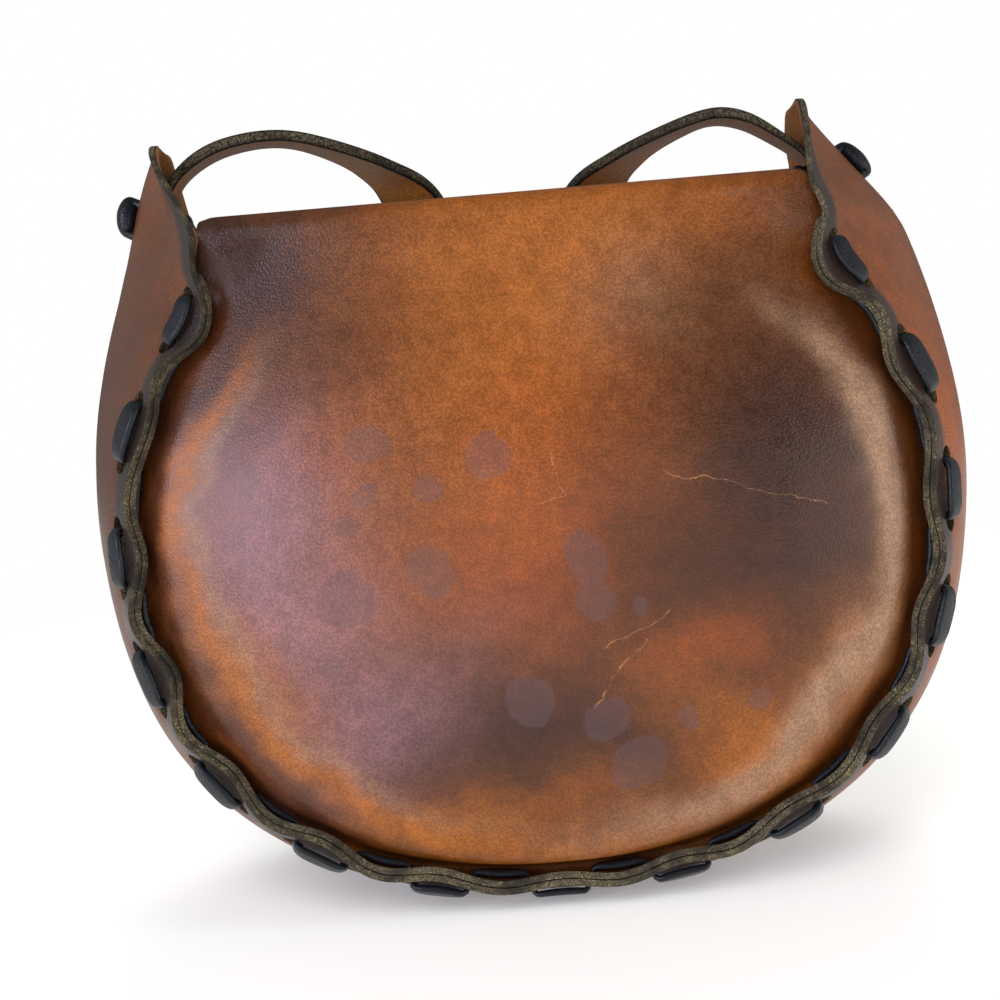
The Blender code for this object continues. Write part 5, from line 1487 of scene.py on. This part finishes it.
def make_camera():
    """The photograph's viewing angle, measured from the rim's outline."""
    data = bpy.data.cameras.new("camera")
    data.lens, data.sensor_width = CAMERA_LENS, SENSOR
    data.clip_start = 0.01
    camera = bpy.data.objects.new("camera", data)
    forward = Vector((math.sin(CAMERA_YAW) * math.cos(CAMERA_PITCH),
                      math.cos(CAMERA_YAW) * math.cos(CAMERA_PITCH),
                      math.sin(CAMERA_PITCH)))
    level = Vector((math.cos(CAMERA_YAW), -math.sin(CAMERA_YAW), 0))
    upright = level.cross(forward)
    right = level * math.cos(CAMERA_ROLL) + upright * math.sin(CAMERA_ROLL)
    up = upright * math.cos(CAMERA_ROLL) - level * math.sin(CAMERA_ROLL)
    turn = Matrix((right, up, -forward)).transposed().to_4x4()
    camera.matrix_world = Matrix.Translation(CAMERA_PLACE) @ turn
    bpy.context.scene.collection.objects.link(camera)
    bpy.context.scene.camera = camera


# Operators

def made_once(name, build, *given):
    """A material that several pieces share."""
    return bpy.data.materials.get(name) or build(*given)


def leathers(context):
    """The materials of every ply: grain, flesh, cut edge and its corners."""
    colors = context.scene.bag_colors
    return (made_once("waxed_saddle_leather", waxed_saddle_leather, colors, context.scene.bag_sizes),
            made_once("flesh_side", flesh_side, colors),
            made_once("burnished_edge", burnished_edge, colors),
            made_once("black_corner", black_corner, colors))


class BAG_OT_hide(bpy.types.Operator):
    """Builds the back panel and flap as one hide that bends at the top fold"""
    bl_idname = "bag.hide"
    bl_label = "Back panel and flap"

    def execute(self, context):
        z = context.scene.bag_sizes
        rim = Rim(z)
        hide = make_hide(z, rim, leathers(context))
        fold_settled(hide, z)
        paint_patina_and_light(hide, context.scene.bag_colors, BACK_PATCHES, rim, BACK_SHADE_AND_HIGHLIGHT_BANDS)
        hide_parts("back_panel", "flap")
        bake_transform(hide)
        return {"FINISHED"}


class BAG_OT_front_panel(bpy.types.Operator):
    """Builds the front panel under the flap"""
    bl_idname = "bag.front_panel"
    bl_label = "Front panel"

    def execute(self, context):
        z = context.scene.bag_sizes
        rim = Rim(z)
        panel = make_front_panel(z, rim, leathers(context))
        paint_patina_and_light(panel, context.scene.bag_colors, FRONT_PATCHES, rim)
        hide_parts("front_panel")
        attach(panel, "bag")
        return {"FINISHED"}


class BAG_OT_gusset(bpy.types.Operator):
    """Builds the gusset with its two tabs"""
    bl_idname = "bag.gusset"
    bl_label = "Gusset"

    def execute(self, context):
        z = context.scene.bag_sizes
        rim = Rim(z)
        gusset = make_gusset(z, rim, leathers(context))
        tabs_opened(gusset, z)
        pulled_left(gusset, z)
        paint_patina_and_light(gusset, context.scene.bag_colors, GUSSET_PATCHES, rim)
        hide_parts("gusset")
        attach(gusset, "bag")
        return {"FINISHED"}


class BAG_OT_laces(bpy.types.Operator):
    """Laces both rims and ties the strap to the tabs"""
    bl_idname = "bag.laces"
    bl_label = "Laces and ties"

    def execute(self, context):
        z = context.scene.bag_sizes
        rim = Rim(z)
        material = made_once("latigo_thong", latigo_thong, context.scene.bag_colors)
        made = [(make_lace("back_thong", z, rim, -1, material), "back_lace"),
                (make_lace("front_thong", z, rim, 1, material), "front_lace"),
                (make_tie("left_tie", -1, z, rim, material), "strap_tie_left"),
                (make_tie("right_tie", 1, z, rim, material), "strap_tie_right")]
        for piece, node in made:
            pulled_left(piece, z)
            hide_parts(node)
            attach(piece, "bag")
        return {"FINISHED"}


class BAG_OT_strap(bpy.types.Operator):
    """Builds the shoulder strap"""
    bl_idname = "bag.strap"
    bl_label = "Strap"

    def execute(self, context):
        z = context.scene.bag_sizes
        colors = context.scene.bag_colors
        strap = make_strap(z, Rim(z), made_once("waxed_strap_leather", waxed_strap_leather, colors))
        pulled_left(strap, z)
        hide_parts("strap")
        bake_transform(strap)
        return {"FINISHED"}


class BAG_OT_stage(bpy.types.Operator):
    """Adds the floor, the surround, the lamps and the camera"""
    bl_idname = "bag.stage"
    bl_label = "Stage"

    def execute(self, context):
        make_floor()
        make_world()
        for lamp in LAMPS:
            area_light(*lamp)
        context.scene.view_settings.view_transform = "Standard"
        make_camera()
        return {"FINISHED"}


STEPS = (BAG_OT_hide, BAG_OT_front_panel, BAG_OT_gusset, BAG_OT_laces, BAG_OT_strap, BAG_OT_stage)


class BAG_PT_panel(bpy.types.Panel):
    """The bag's sizes, colours and building steps"""
    bl_idname = "BAG_PT_panel"
    bl_label = "Shoulder bag"
    bl_space_type = "VIEW_3D"
    bl_region_type = "UI"
    bl_category = "Bag"

    def draw(self, context):
        layout = self.layout
        for step in STEPS:
            layout.operator(step.bl_idname)
        for group in (context.scene.bag_sizes, context.scene.bag_colors):
            box = layout.box()
            for key in group.bl_rna.properties.keys():
                if key not in {"rna_type", "name"}:
                    box.prop(group, key)


CLASSES = (BagSizes, BagColors, *STEPS, BAG_PT_panel)


def register():
    for cls in CLASSES:
        bpy.utils.register_class(cls)
    bpy.types.Scene.bag_sizes = PointerProperty(type=BagSizes)
    bpy.types.Scene.bag_colors = PointerProperty(type=BagColors)


def unregister():
    del bpy.types.Scene.bag_sizes
    del bpy.types.Scene.bag_colors
    for cls in reversed(CLASSES):
        bpy.utils.unregister_class(cls)


def main():
    register()
    for step in (bpy.ops.bag.hide, bpy.ops.bag.front_panel, bpy.ops.bag.gusset, bpy.ops.bag.laces,
                 bpy.ops.bag.strap, bpy.ops.bag.stage):
        step()


if __name__ == "__main__":
    main()
